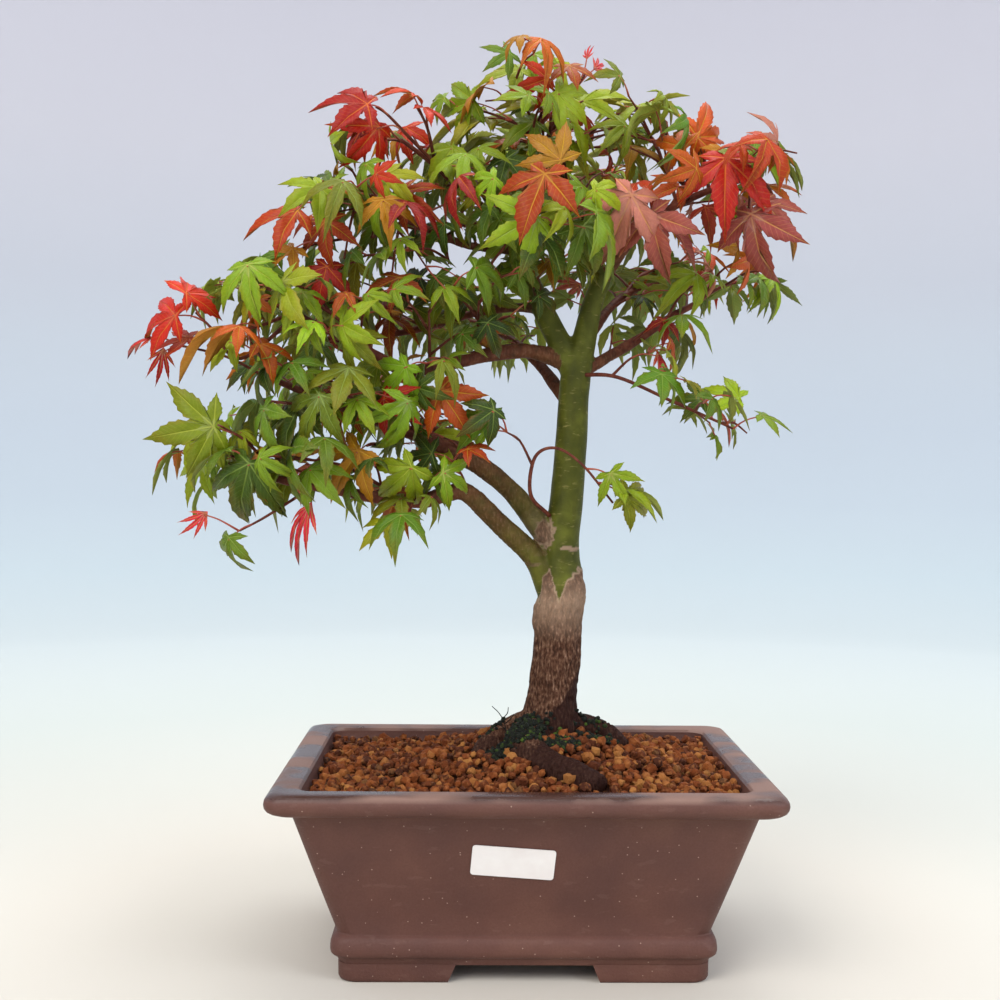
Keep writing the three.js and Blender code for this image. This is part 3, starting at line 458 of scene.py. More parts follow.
@dataclass
class Pot:
    """The rectangular pot with its rolled rim, half-round base moulding and four corner feet."""

    width: float = 260.0
    depth: float = 202.0
    corner: float = 9.0
    corner_steps: int = 6
    foot_band: float = 16.0
    foot_top: float = 9.8
    arch_width: float = 80.0
    arch_depth: float = 56.0
    arch_slope: float = 6.0
    drain_x: float = 46.0
    # The height where the rim's damp patches and its painted sheen begin.
    drain_radius: float = 11.0
    rim_damp_and_sheen_from: float = 97.5
    # Height above the table, and inset from the rim's outer edge: up the outside, over the rim, down inside.
    profile: tuple[tuple[float, float], ...] = (
        (9.2, 36.0), (9.3, 34.4), (12, 33.4), (13, 33.0), (13.6, 31.6), (14.8, 30.6), (16.6, 30.2),
        (18.6, 30.2), (21, 30.5), (22.8, 31.2), (24, 32.2), (24.7, 33.1), (25.6, 33.3), (40, 28.5),
        (60, 22.0), (80, 15.6), (90.6, 12.2), (91.3, 11.4), (91.7, 8.0), (92.2, 4.9), (93.1, 2.8),
        (94.4, 1.2), (96.1, 0.3), (98, 0), (99.9, 0.3), (101.5, 1.2), (102.7, 2.7), (103.3, 4.6),
        (103.4, 6.8), (103.3, 13.5), (102.7, 15.4), (101.3, 16.5), (97, 16.9), (88, 21.0), (60, 29.0),
        (30, 34.6), (21, 36.5), (18, 40.0),
    )

    def ring(self, bm: bmesh.types.BMesh, inset: float, z: float) -> list[bmesh.types.BMEdge]:
        """Starts a rounded rectangle.

        Args:
            bm: the bmesh it is added to.
            inset: its distance inside the rim's outer edge.
            z: its height.

        Returns:
            Its edges.
        """
        count = 4 * (self.corner_steps + 1)
        verts = bmesh.ops.create_circle(bm, segments=count, radius=1.0, cap_ends=False)["verts"]
        verts.sort(key=lambda v: math.atan2(v.co.y, v.co.x) % (2 * math.pi))
        half_x, half_y = self.width / 2 - inset - self.corner, self.depth / 2 - inset - self.corner
        for k, vert in enumerate(verts):
            quarter, step = divmod(k, self.corner_steps + 1)
            angle = (quarter + step / self.corner_steps) * math.pi / 2
            side_x = 1 if quarter in (0, 3) else -1
            side_y = 1 if quarter in (0, 1) else -1
            x = side_x * half_x + self.corner * math.cos(angle)
            y = side_y * half_y + self.corner * math.sin(angle)
            vert.co = Place.row((x, y, z))
        return list({e for v in verts for e in v.link_edges})

    def loft(self, bm: bmesh.types.BMesh, profile: Sequence[tuple[float, float]]) -> list[bmesh.types.BMEdge]:
        """Extrudes a ring up or down a profile.

        Args:
            bm: the bmesh it is added to.
            profile: height and inset of each ring.

        Returns:
            The last ring's edges.
        """
        edges = self.ring(bm, profile[0][1], profile[0][0])
        for (z0, inset0), (z1, inset1) in zip(profile, profile[1:]):
            edges, verts = extrude_ring(bm, edges)
            for vert in verts:
                local = vert.co - Place.origin
                vert.co.x -= (inset1 - inset0) * MM * math.copysign(1.0, local.x)
                vert.co.y -= (inset1 - inset0) * MM * math.copysign(1.0, local.y)
                vert.co.z += (z1 - z0) * MM
        return edges

    def body(self) -> bpy.types.Object:
        """Makes the bowl without its feet.

        Returns:
            A closed helper object.
        """
        bm = bmesh.new()
        self.loft(bm, self.profile)
        bmesh.ops.holes_fill(bm, edges=[e for e in bm.edges if e.is_boundary], sides=0)
        bmesh.ops.recalc_face_normals(bm, faces=bm.faces)
        return scratch(bm, "pot_body")

    def feet(self) -> bpy.types.Object:
        """Makes the band that the feet are cut from.

        Returns:
            A closed helper object.
        """
        bm = bmesh.new()
        inner = 34 + self.foot_band
        outer_loop = (
            (0, 35.6), (0.7, 34.7), (2.2, 34.1), (self.foot_top, 34.0), (self.foot_top, inner), (0, inner)
        )
        last = self.loft(bm, outer_loop)
        first = [e for e in bm.edges if e.is_boundary and e not in set(last)]
        bmesh.ops.bridge_loops(bm, edges=[*first, *last])
        bmesh.ops.recalc_face_normals(bm, faces=bm.faces)
        return scratch(bm, "pot_feet")

    def arch(self, width: float, length: float, turned: bool) -> bpy.types.Object:
        """Makes the tunnel between two feet.

        Args:
            width: its width at the table.
            length: how far it runs.
            turned: True if it runs from side to side.

        Returns:
            A closed helper object.
        """
        bm = bmesh.new()
        bmesh.ops.create_cube(bm, size=1.0)
        rise = self.foot_top + 3
        for vert in bm.verts:
            lean = 0 if vert.co.z < 0 else self.arch_slope * 2
            x, y = vert.co.x * (width - lean), vert.co.y * length
            z = -2.0 if vert.co.z < 0 else rise
            vert.co = Place.row((y, x, z) if turned else (x, y, z))
        bmesh.ops.bevel(
            bm, geom=[e for e in bm.edges if all(v.co.z > Place.origin.z for v in e.verts)],
            offset=1.2 * MM, segments=3, profile=0.5, affect="EDGES", material=-1,
        )
        bmesh.ops.recalc_face_normals(bm, faces=bm.faces)
        return scratch(bm, "pot_arch")

    def drain(self, side: int) -> bpy.types.Object:
        """Makes the plug that a drainage hole is cut with.

        Args:
            side: -1 for the left hole, 1 for the right one.

        Returns:
            A closed helper object.
        """
        bm = bmesh.new()
        middle = Matrix.Translation(Place.row((side * self.drain_x, 0, 14)))
        bmesh.ops.create_cone(
            bm, cap_ends=True, segments=40, radius1=self.drain_radius * MM, radius2=self.drain_radius * MM,
            depth=30 * MM, matrix=middle,
        )
        return scratch(bm, "pot_drain")

    def build(self) -> bpy.types.Object:
        """Builds the pot in the CAD pot's place.

        Returns:
            The piece.
        """
        body = self.body()
        feet = self.feet()
        tunnels = [self.arch(self.arch_width, 260, False), self.arch(self.arch_depth, 300, True)]
        for tunnel in tunnels:
            cut = feet.modifiers.new("tunnel", "BOOLEAN")
            cut.operation, cut.object, cut.solver = "DIFFERENCE", tunnel, "MANIFOLD"
        join = body.modifiers.new("feet", "BOOLEAN")
        join.operation, join.object, join.solver = "UNION", feet, "MANIFOLD"
        drains = [self.drain(side) for side in (-1, 1)]
        for drain in drains:
            cut = body.modifiers.new("drain", "BOOLEAN")
            cut.operation, cut.object, cut.solver = "DIFFERENCE", drain, "MANIFOLD"
        mesh = baked(body)
        mesh.materials.clear()
        discard(body, feet, *tunnels, *drains)
        finish = UnglazedStoneware(rim_height=self.rim_damp_and_sheen_from + Place.origin.z / MM)
        return dress(mesh, "stoneware_pot", [finish.material()], ["pot"], 32)


# ---------------------------------------------------------------- soil and moss
def soil_height(x: float, y: float) -> float:
    """Finds the height of the soil's surface.

    Args:
        x: to the right, in the pot frame.
        y: to the back.

    Returns:
        The height.
    """
    away = ((x - 15) ** 2 + y**2) / (2 * 42**2)
    lumps = math.sin(x * 0.31 + 1.3) * math.cos(y * 0.37) + 0.6 * math.sin(x * 0.12 - y * 0.17)
    return 95 + 23 * math.exp(-away) + 1.1 * lumps


@dataclass(frozen=True)
class FiredClayGranules(Finish):
    """Moist fired-clay granules, crushed and sieved.

    Each grain has its own ochre, orange or brown, a dusty face and a matt, gritty surface.
    """

    name: str = "fired_clay_granules"
    roughness: float = 0.9

    def material(self) -> bpy.types.Material:
        """Builds the material.

        Returns:
            The material, ready for a piece's slots.
        """
        material, node, shader = self.start()
        point = self.object_point(node)
        shade = node("Attribute", attribute_name="shade", output="Fac")
        stops = (
            (0.0, "#3b1c10"), (0.16, "#582a15"), (0.36, "#6e3718"), (0.58, "#82411b"), (0.78, "#965426"),
            (0.93, "#b4793e"), (1.0, "#38221a"),
        )
        grain = node("ValToRGB", shade, stops=stops)
        fine = node("TexNoise", point, Scale=1 / 0.9, Detail=3)
        dark = node("Mix.MIX", node("Math.MULTIPLY", fine, 0.5), grain, "#3d1f0d")
        dust = node("TexNoise", point, Scale=1 / 2.6, Detail=2)
        dusty = node("Math.MULTIPLY", node("Math.SUBTRACT", dust, 0.52), 2.4, use_clamp=True)
        feed(shader.inputs["Base Color"], node("Mix.MIX", dusty, dark, "#a96e40"))
        shader.inputs["Specular IOR Level"].default_value = 0.25
        feed(shader.inputs["Normal"], node("Bump", Height=fine, Distance=0.5 * MM))
        return material


@dataclass(frozen=True)
class DampMoss(Finish):
    """Living moss, damp and fuzzy: near-black green hollows and brighter green tips."""

    name: str = "damp_moss"
    roughness: float = 0.95

    def material(self) -> bpy.types.Material:
        """Builds the material.

        Returns:
            The material, ready for a piece's slots.
        """
        material, node, shader = self.start()
        point = self.object_point(node)
        shade = node("Attribute", attribute_name="shade", output="Fac")
        base = node(
            "ValToRGB", shade,
            stops=(
                (0.0, "#0a0c05"), (0.5, "#14180a"), (0.78, "#1f290d"), (0.94, "#384d12"), (1.0, "#5f7c1c")
            )
        )
        fine = node("TexNoise", point, Scale=1 / 0.5, Detail=3)
        feed(shader.inputs["Base Color"], node("Mix.MIX", node("Math.MULTIPLY", fine, 0.7), base, "#0c1008"))
        feed(shader.inputs["Normal"], node("Bump", Height=fine, Distance=0.8 * MM))
        return material


@dataclass
class Grain:
    """A small lumpy solid that is copied many times: a spherified cube of two dozen faces."""

    seed: int
    flatness: float = 0.85
    mesh: bpy.types.Mesh = field(init=False)
    points: np.ndarray = field(init=False)

    def __post_init__(self) -> None:
        """Makes the template mesh and keeps its unit points."""
        bm = bmesh.new()
        bmesh.ops.create_cube(bm, size=1.0)
        bmesh.ops.subdivide_edges(bm, edges=bm.edges, cuts=1, use_grid_fill=True)
        for vert in bm.verts:
            round_part = vert.co.normalized()
            lump = noise.noise(round_part * 1.7 + Vector((self.seed * 3.1, 0.4, 0)))
            sharp = noise.noise(round_part * 4.3 + Vector((0, self.seed * 1.7, 0)))
            vert.co = (round_part * 0.8 + vert.co * 0.34) * (1 + 0.44 * lump + 0.3 * sharp)
        self.mesh = bpy.data.meshes.new("grain_template")
        bm.to_mesh(self.mesh)
        bm.free()
        self.mesh.attributes.new("shade", "FLOAT", "POINT")
        self.points = np.empty(len(self.mesh.vertices) * 3)
        self.mesh.vertices.foreach_get("co", self.points)
        self.points = self.points.reshape(-1, 3)

    def stamp(self, bm: bmesh.types.BMesh, place: Vector, radius: float, rng: random.Random) -> None:
        """Adds one copy with its own turn and shade.

        Args:
            bm: the bmesh it is added to.
            place: its middle in the pot frame.
            radius: its size.
            rng: the source of its turn and shade.
        """
        turn = random_turn(rng)
        self.mesh.attributes["shade"].data.foreach_set("value", [rng.random()] * len(self.mesh.vertices))
        turned = (self.points * (1, 1, self.flatness)) @ np.array(turn.to_3x3()).T * radius * MM
        self.mesh.vertices.foreach_set("co", (turned + np.array(Place.row(place))).ravel())
        bm.from_mesh(self.mesh)


def random_turn(rng: random.Random) -> Matrix:
    """Makes a random rotation.

    Args:
        rng: the source of its angles.

    Returns:
        The rotation.
    """
    return (
        Matrix.Rotation(rng.uniform(0, TURN), 4, "Z")
        @ Matrix.Rotation(rng.uniform(0, HALF_TURN), 4, "X")
        @ Matrix.Rotation(rng.uniform(0, TURN), 4, "Z")
    )


@dataclass
class Soil:
    """The bed of loose granules and the moss at the trunk's foot."""

    half_x: float = 112.0
    half_y: float = 83.0
    pitch: float = 3.9
    second_layer: float = 0.42
    seed: int = 12
    # Where moss grows: a patch's middle, its half-sizes, and how many tufts.
    moss_patches: tuple[tuple[tuple[float, float], tuple[float, float], int], ...] = (
        ((6, -24), (20, 13), 620),
        ((-14, -30), (9, 8), 150),
        ((22, -26), (9, 9), 170),
        ((40, -8), (13, 7), 130),
        ((-18, -8), (8, 7), 60),
    )
    sprout: tuple[tuple[tuple[float, float, float], ...], ...] = (
        ((-9, -14, 117), (-10, -15, 124), (-13, -16, 130), (-17, -17, 134)),
        ((-10, -15, 124), (-7, -17, 127), (-5, -18, 130)),
        ((-9.5, -14.5, 121), (-13, -16, 124), (-15, -17, 125)),
        ((-11, -15.5, 127), (-8.5, -15, 130), (-8, -14, 133)),
    )

    def bed(self) -> bpy.types.Object:
        """Builds the body under the grains: the CAD soil's own solid, merged and dressed.

        Returns:
            The piece.
        """
        bm = bmesh.new()
        bm.from_mesh(frame["nodes"]["soil_bed"].data)
        bmesh.ops.remove_doubles(bm, verts=bm.verts, dist=1e-6)
        for vert in bm.verts:
            if vert.co.z > Place.row((0, 0, 88)).z:
                vert.co.z -= 1.6 * MM
        finish = FiredClayGranules(name="fired_clay_bed")
        return make_piece(bm, "soil_body", [finish.material()], ["soil_bed"], 40)

    def grains(self, wood: "kdtree.KDTree") -> bpy.types.Object:
        """Strews loose granules over the whole surface, clear of the roots.

        Args:
            wood: points on the roots' skin, which no granule touches.

        Returns:
            The piece.
        """
        rng = random.Random(self.seed)
        kinds = [Grain(k) for k in range(8)]
        bm = bmesh.new()
        rows, columns = int(2 * self.half_y / self.pitch), int(2 * self.half_x / self.pitch)
        for j in range(rows + 1):
            for i in range(columns + 1):
                for layer in range(2 if rng.random() < self.second_layer else 1):
                    x = -self.half_x + i * self.pitch + rng.uniform(-2.0, 2.0)
                    y = -self.half_y + j * self.pitch + rng.uniform(-2.0, 2.0)
                    radius = rng.triangular(1.1, 3.7, 1.9)
                    if abs(x) > self.half_x - radius * 0.7 or abs(y) > self.half_y - radius * 0.7:
                        continue
                    z = soil_height(x, y) + rng.uniform(-1.4, 0.6) + layer * 2.6
                    if wood.find((x, y, z))[2] < radius * 0.6:
                        continue
                    kinds[rng.randrange(8)].stamp(bm, Vector((x, y, z)), radius, rng)
        finish = FiredClayGranules()
        return make_piece(bm, "soil_granules", [finish.material()], (), 50)

    def moss(self, skin: bpy.types.Object) -> bpy.types.Object:
        """Grows tufts of moss over and beside the front roots, with one small sprout.

        Args:
            skin: the bark, which the tufts sit on.

        Returns:
            The piece.
        """
        rng = random.Random(self.seed + 5)
        kinds = [Grain(20 + k, 0.8) for k in range(4)]
        corners = [vertex.co for vertex in skin.data.vertices]
        bark = BVHTree.FromPolygons(corners, [polygon.vertices for polygon in skin.data.polygons])
        bm = bmesh.new()
        for (cx, cy), (rx, ry), count in self.moss_patches:
            for _ in range(count):
                angle, reach = rng.uniform(0, TURN), math.sqrt(rng.random())
                x, y = cx + rx * reach * math.cos(angle), cy + ry * reach * math.sin(angle)
                ground = soil_height(x, y) + 1.6 + 1.8 * (1 - reach)
                hit = bark.ray_cast(Place.row((x, y, 136)), -UP)[0]
                if hit and Place.pot(hit).z > 130:
                    continue
                if hit:
                    ground = max(ground, Place.pot(hit).z + 0.2)
                place = Vector((x, y, ground + rng.uniform(-0.5, 0.7)))
                kinds[rng.randrange(4)].stamp(bm, place, rng.uniform(0.6, 1.5), rng)
        for route in self.sprout:
            grow_tube(bm, smooth_line(route, 4), spread((0.3, 0.22), 4 * (len(route) - 1) + 1), 5)
        return make_piece(bm, "moss_tufts", [DampMoss().material()], ["moss_cushion"])


# ---------------------------------------------------------------- wood
class Skin(Enum):
    """How a limb's bark looks: how green and how red it is where it starts and where it ends."""

    OLD = (0.0, 0.0, 0.0, 0.0)
    GREEN = (1.0, 0.0, 1.0, 0.0)
    GREEN_TO_BROWN = (1.0, 0.0, 0.0, 0.8)
    BROWN = (0.35, 0.5, 0.0, 1.0)


@dataclass(frozen=True)
class Limb:
    """One limb of the tree.

    Attributes:
        name: the CAD node it stands for, or part of it.
        route: its middle line in the pot frame.
        radii: its radius at the start and the end, or at each point.
        skin: how its bark looks.
    """

    name: str
    route: tuple[tuple[float, float, float], ...]
    radii: tuple[float, ...]
    skin: Skin = Skin.BROWN

    def line(self, per_span: int = 6) -> list[Vector]:
        """The limb's smooth middle line."""
        return smooth_line(self.route, per_span)

    def at(self, share: float) -> tuple[Vector, Vector]:
        """Finds a place on the route.

        Args:
            share: from 0 at its start to 1 at its end.

        Returns:
            The point, and the way the route heads there.
        """
        where = share * (len(self.route) - 1)
        span = min(int(where), len(self.route) - 2)
        a, b = Vector(self.route[span]), Vector(self.route[span + 1])
        return a.lerp(b, where - span), (b - a).normalized()


LIMBS = (
    Limb(
        "trunk",
        (
            (15, 2, 84), (15.2, 1, 104), (15.6, 0, 120), (16.4, 0, 135), (17.6, 0, 147), (19, 0, 168),
            (19.6, 0, 182), (21.6, 0, 191), (21.4, 0, 200), (21.2, 0, 214), (21.4, 0, 226), (23.7, 0, 246),
            (26.2, 0, 282), (28, 0, 313), (33, 0, 337), (37.5, -1, 357), (42.5, -2, 370),
        ),
        (15, 19, 17, 14.6, 13.8, 13.3, 14.4, 13.6, 12.8, 10.3, 9.9, 9.5, 8.8, 8.5, 6.8, 5.5, 5.2), Skin.OLD,
    ),
    Limb(
        "trunk",
        ((10, -4, 120), (1, -22, 114), (8, -40, 108), (22, -55, 104.5), (38, -68, 100)),
        (12, 10.4, 9.6, 9.2, 7.6), Skin.OLD,
    ),
    Limb(
        "trunk",
        ((12, 0, 122), (-7, -6, 118), (-21, -15, 110), (-32, -23, 96)),
        (10, 8, 6.5, 4), Skin.OLD,
    ),
    Limb("trunk", ((18, 2, 122), (36, 1, 119.5), (52, 3, 113), (66, 5, 99)), (9, 7, 5.6, 3.6), Skin.OLD),
    Limb("trunk", ((14, 6, 120), (6, 28, 113), (-4, 46, 98)), (10, 7, 4.4), Skin.OLD),
    Limb("trunk", ((20, 5, 118), (40, 25, 109), (54, 38, 96)), (9, 6.4, 4), Skin.OLD),
    Limb(
        "bough_lower_left",
        (
            (14, 0, 196), (5.6, -3, 214.6), (-14, -8, 234), (-31.6, -11, 250), (-41, -13, 250),
            (-56, -18, 246), (-76, -24, 247), (-96, -28, 250.5), (-114, -32, 253.5), (-131, -34, 257),
            (-148, -36, 262),
        ),
        (6.8, 1.5), Skin.GREEN_TO_BROWN,
    ),
    Limb(
        "bough_middle_left",
        (
            (15, 1, 224), (2.6, 1, 239.8), (-9.4, 0, 253.3), (-24.4, -3, 265.2), (-39, -6, 272.6),
            (-54, -9, 280), (-69, -12, 285), (-86, -15, 291), (-102, -18, 297.4), (-122, -22, 305),
            (-142, -26, 313),
        ),
        (6.8, 1.4), Skin.GREEN_TO_BROWN,
    ),
    Limb(
        "bough_middle_left_back",
        ((-24, -3, 265), (-38, 16, 278), (-58, 34, 290), (-80, 50, 299), (-102, 64, 306)),
        (3.4, 1.2),
    ),
    Limb(
        "bough_upper_left",
        (
            (24, 0, 322), (2, -3, 329), (-24, -8, 325.5), (-46, -14, 319.7), (-66, -20, 316),
            (-79, -24, 323), (-93, -28, 330), (-107, -32, 337), (-124, -36, 345), (-140, -40, 353),
        ),
        (4.8, 1.3), Skin.BROWN,
    ),
    Limb(
        "stem_left",
        (
            (28, 0, 316), (18, 1, 336), (10, 2, 352), (3, 3, 368), (-4, 4, 382), (-11, 4, 395),
            (-18, 4, 408), (-26, 4, 420),
        ),
        (7.4, 2.1), Skin.GREEN,
    ),
    Limb(
        "bough_left_back",
        (
            (8, 2, 353), (-6, 8, 354), (-25, 14, 352), (-56, 22, 344), (-80, 27, 339.5), (-104, 31, 337),
            (-122, 34, 339),
        ),
        (2.9, 1.2),
    ),
    Limb(
        "bough_left_high",
        ((-6, 3, 385), (-32, -8, 386), (-56, -20, 393.5), (-78, -30, 400.5), (-95, -36, 406)),
        (2.6, 1.0),
    ),
    Limb("bough_crown_left", ((-15, 4, 403), (-35, -6, 416), (-53, -20, 429), (-68, -30, 438)), (2.5, 1.0)),
    Limb(
        "leader",
        ((40, -1, 362), (38, 0, 386), (29, 2, 408), (19, 2, 427), (9.5, 0, 443)),
        (4.8, 1.6), Skin.GREEN,
    ),
    Limb(
        "bough_upper_right",
        ((41, -2, 366), (57, -12, 390), (76, -24, 404), (98, -34, 413), (118, -42, 418)),
        (3.6, 1.2),
    ),
    Limb(
        "bough_right",
        ((29, 0, 316), (47, 4, 327), (66, 10, 338.5), (84.6, 15, 351.5), (98, 18, 359), (108, 20, 368)),
        (3.8, 1.2),
    ),
    Limb(
        "bough_back_left",
        ((26, 1, 298), (12, 24, 320), (-4, 48, 338), (-22, 70, 350), (-42, 88, 357)),
        (4.2, 1.3),
    ),
    Limb(
        "bough_back_right",
        ((32, 1, 333), (44, 22, 350), (57, 44, 364), (71, 64, 373), (84, 82, 378)),
        (3.8, 1.2),
    ),
    Limb("bough_crown_back", ((36, 1, 392), (30, 18, 411), (22, 38, 426), (14, 56, 435)), (2.8, 1.0)),
    Limb("bough_front", ((8, 2, 356), (2, -20, 378), (-4, -42, 391), (-8, -60, 397)), (2.8, 1.0)),
)


@dataclass(frozen=True)
class LivingBark(Finish):
    """Living maple bark: grey-brown and fissured low down, smooth olive green above, red-brown on twigs.

    Vertex attributes say how green and how red it is; damp darkens the foot of the trunk.
    """

    name: str = "living_maple_bark"
    roughness: float = 0.72
    soil_top: float = 118.0
    foot_x: float = 15.0

    def material(self) -> bpy.types.Material:
        """Builds the material.

        Returns:
            The material, ready for a piece's slots.
        """
        material, node, shader = self.start()
        point = self.object_point(node)
        upright = self.object_point(node, (1, 1, 2.6))
        level = self.object_point(node, (3.2, 3.2, 1))
        z = node("SeparateXYZ", point, output="Z")
        green = node("Attribute", attribute_name="green", output="Fac")
        red = node("Attribute", attribute_name="red", output="Fac")
        # Old bark: vertical fissures about 1.2 mm apart, with paler plates between them.
        fissure = node("TexNoise", upright, Scale=1 / 1.2, Detail=6)
        patch = node("TexNoise", point, Scale=1 / 11, Detail=3)
        old = node(
            "ValToRGB", fissure,
            stops=(
                (0.34, "#22140e"), (0.44, "#452a1e"), (0.53, "#5e4030"), (0.62, "#7c5c48"),
                (0.72, "#a98670")
            )
        )
        old = node("Mix.MIX", node("Math.MULTIPLY", patch, 0.5), old, "#523626")
        lift = node("Math.SUBTRACT", z, self.soil_top)
        burl = node("Math.ABSOLUTE", node("Math.DIVIDE", node("Math.SUBTRACT", lift, 72), 22))
        burl = node("Math.SUBTRACT", 1.0, burl, use_clamp=True)
        old = node("Mix.MIX", node("Math.MULTIPLY", burl, 0.55), old, "#b0937a")
        # Damp climbs from the soil, highest on the right.
        across = node("Math.SUBTRACT", node("SeparateXYZ", point, output="X"), self.foot_x)
        climb = node("Math.MULTIPLY_ADD", across, 1.3, 6.0)
        climb = node("Math.MULTIPLY_ADD", patch, 18.0, climb)
        damp = node("Math.DIVIDE", node("Math.SUBTRACT", climb, lift), 3.5, use_clamp=True)
        low = node("Math.DIVIDE", node("Math.SUBTRACT", 3.0, lift), 5.0, use_clamp=True)
        damp = node("Math.MAXIMUM", damp, node("Math.MULTIPLY", low, 0.8))
        old = node("Mix.MIX", node("Math.MULTIPLY", damp, 0.86), old, "#260e09")
        # Young bark: olive green with level pale lenticels and a darker, mottled weathering.
        lenticel = node("TexNoise", level, Scale=1 / 1.5, Detail=2)
        young = node("ValToRGB", patch, stops=((0.25, "#3b3f12"), (0.5, "#4f5119"), (0.75, "#676a25")))
        pale = node("Math.MULTIPLY", node("Math.SUBTRACT", lenticel, 0.62), 5.0, use_clamp=True)
        young = node("Mix.MIX", pale, young, "#8a8048")
        soot = node("TexNoise", upright, Scale=1 / 3.5, Detail=4)
        soot = node("Math.MULTIPLY", node("Math.SUBTRACT", soot, 0.55), 2.6, use_clamp=True)
        young = node("Mix.MIX", node("Math.MULTIPLY", soot, 0.55), young, "#3a3116")
        # Healed bark along the edge of the old bark and on leaf scars is pale.
        healed = node("Math.MULTIPLY", green, node("Math.SUBTRACT", 1.0, green))
        healed = node("Math.MULTIPLY", healed, node("Math.MULTIPLY_ADD", red, -6.0, 1.0, use_clamp=True))
        # Twig bark: satin red-brown.
        twig = node(
            "ValToRGB", node("TexNoise", point, Scale=1 / 4, Detail=3),
            stops=((0.3, "#4a241c"), (0.55, "#6a3325"), (0.75, "#7d4a35"))
        )
        colour = node("Mix.MIX", red, node("Mix.MIX", green, old, young), twig)
        colour = node("Mix.MIX", node("Math.MULTIPLY", healed, 2.6), colour, "#b0937c")
        feed(shader.inputs["Base Color"], colour)
        smooth = node("Math.MAXIMUM", green, red)
        wet = node("Math.MULTIPLY", damp, node("Math.SUBTRACT", 1.0, smooth))
        rough = node("Math.SUBTRACT", 0.86, node("Math.MULTIPLY", smooth, 0.34))
        rough = node("Math.SUBTRACT", rough, node("Math.MULTIPLY", wet, 0.12))
        feed(shader.inputs["Roughness"], rough)
        shader.inputs["Specular IOR Level"].default_value = 0.18
        deep = node("Math.MULTIPLY", fissure, node("Math.SUBTRACT", 1.15, smooth))
        relief = node("Math.ADD", deep, node("Math.MULTIPLY", lenticel, 0.25))
        feed(shader.inputs["Normal"], node("Bump", Height=relief, Distance=0.9 * MM))
        return material


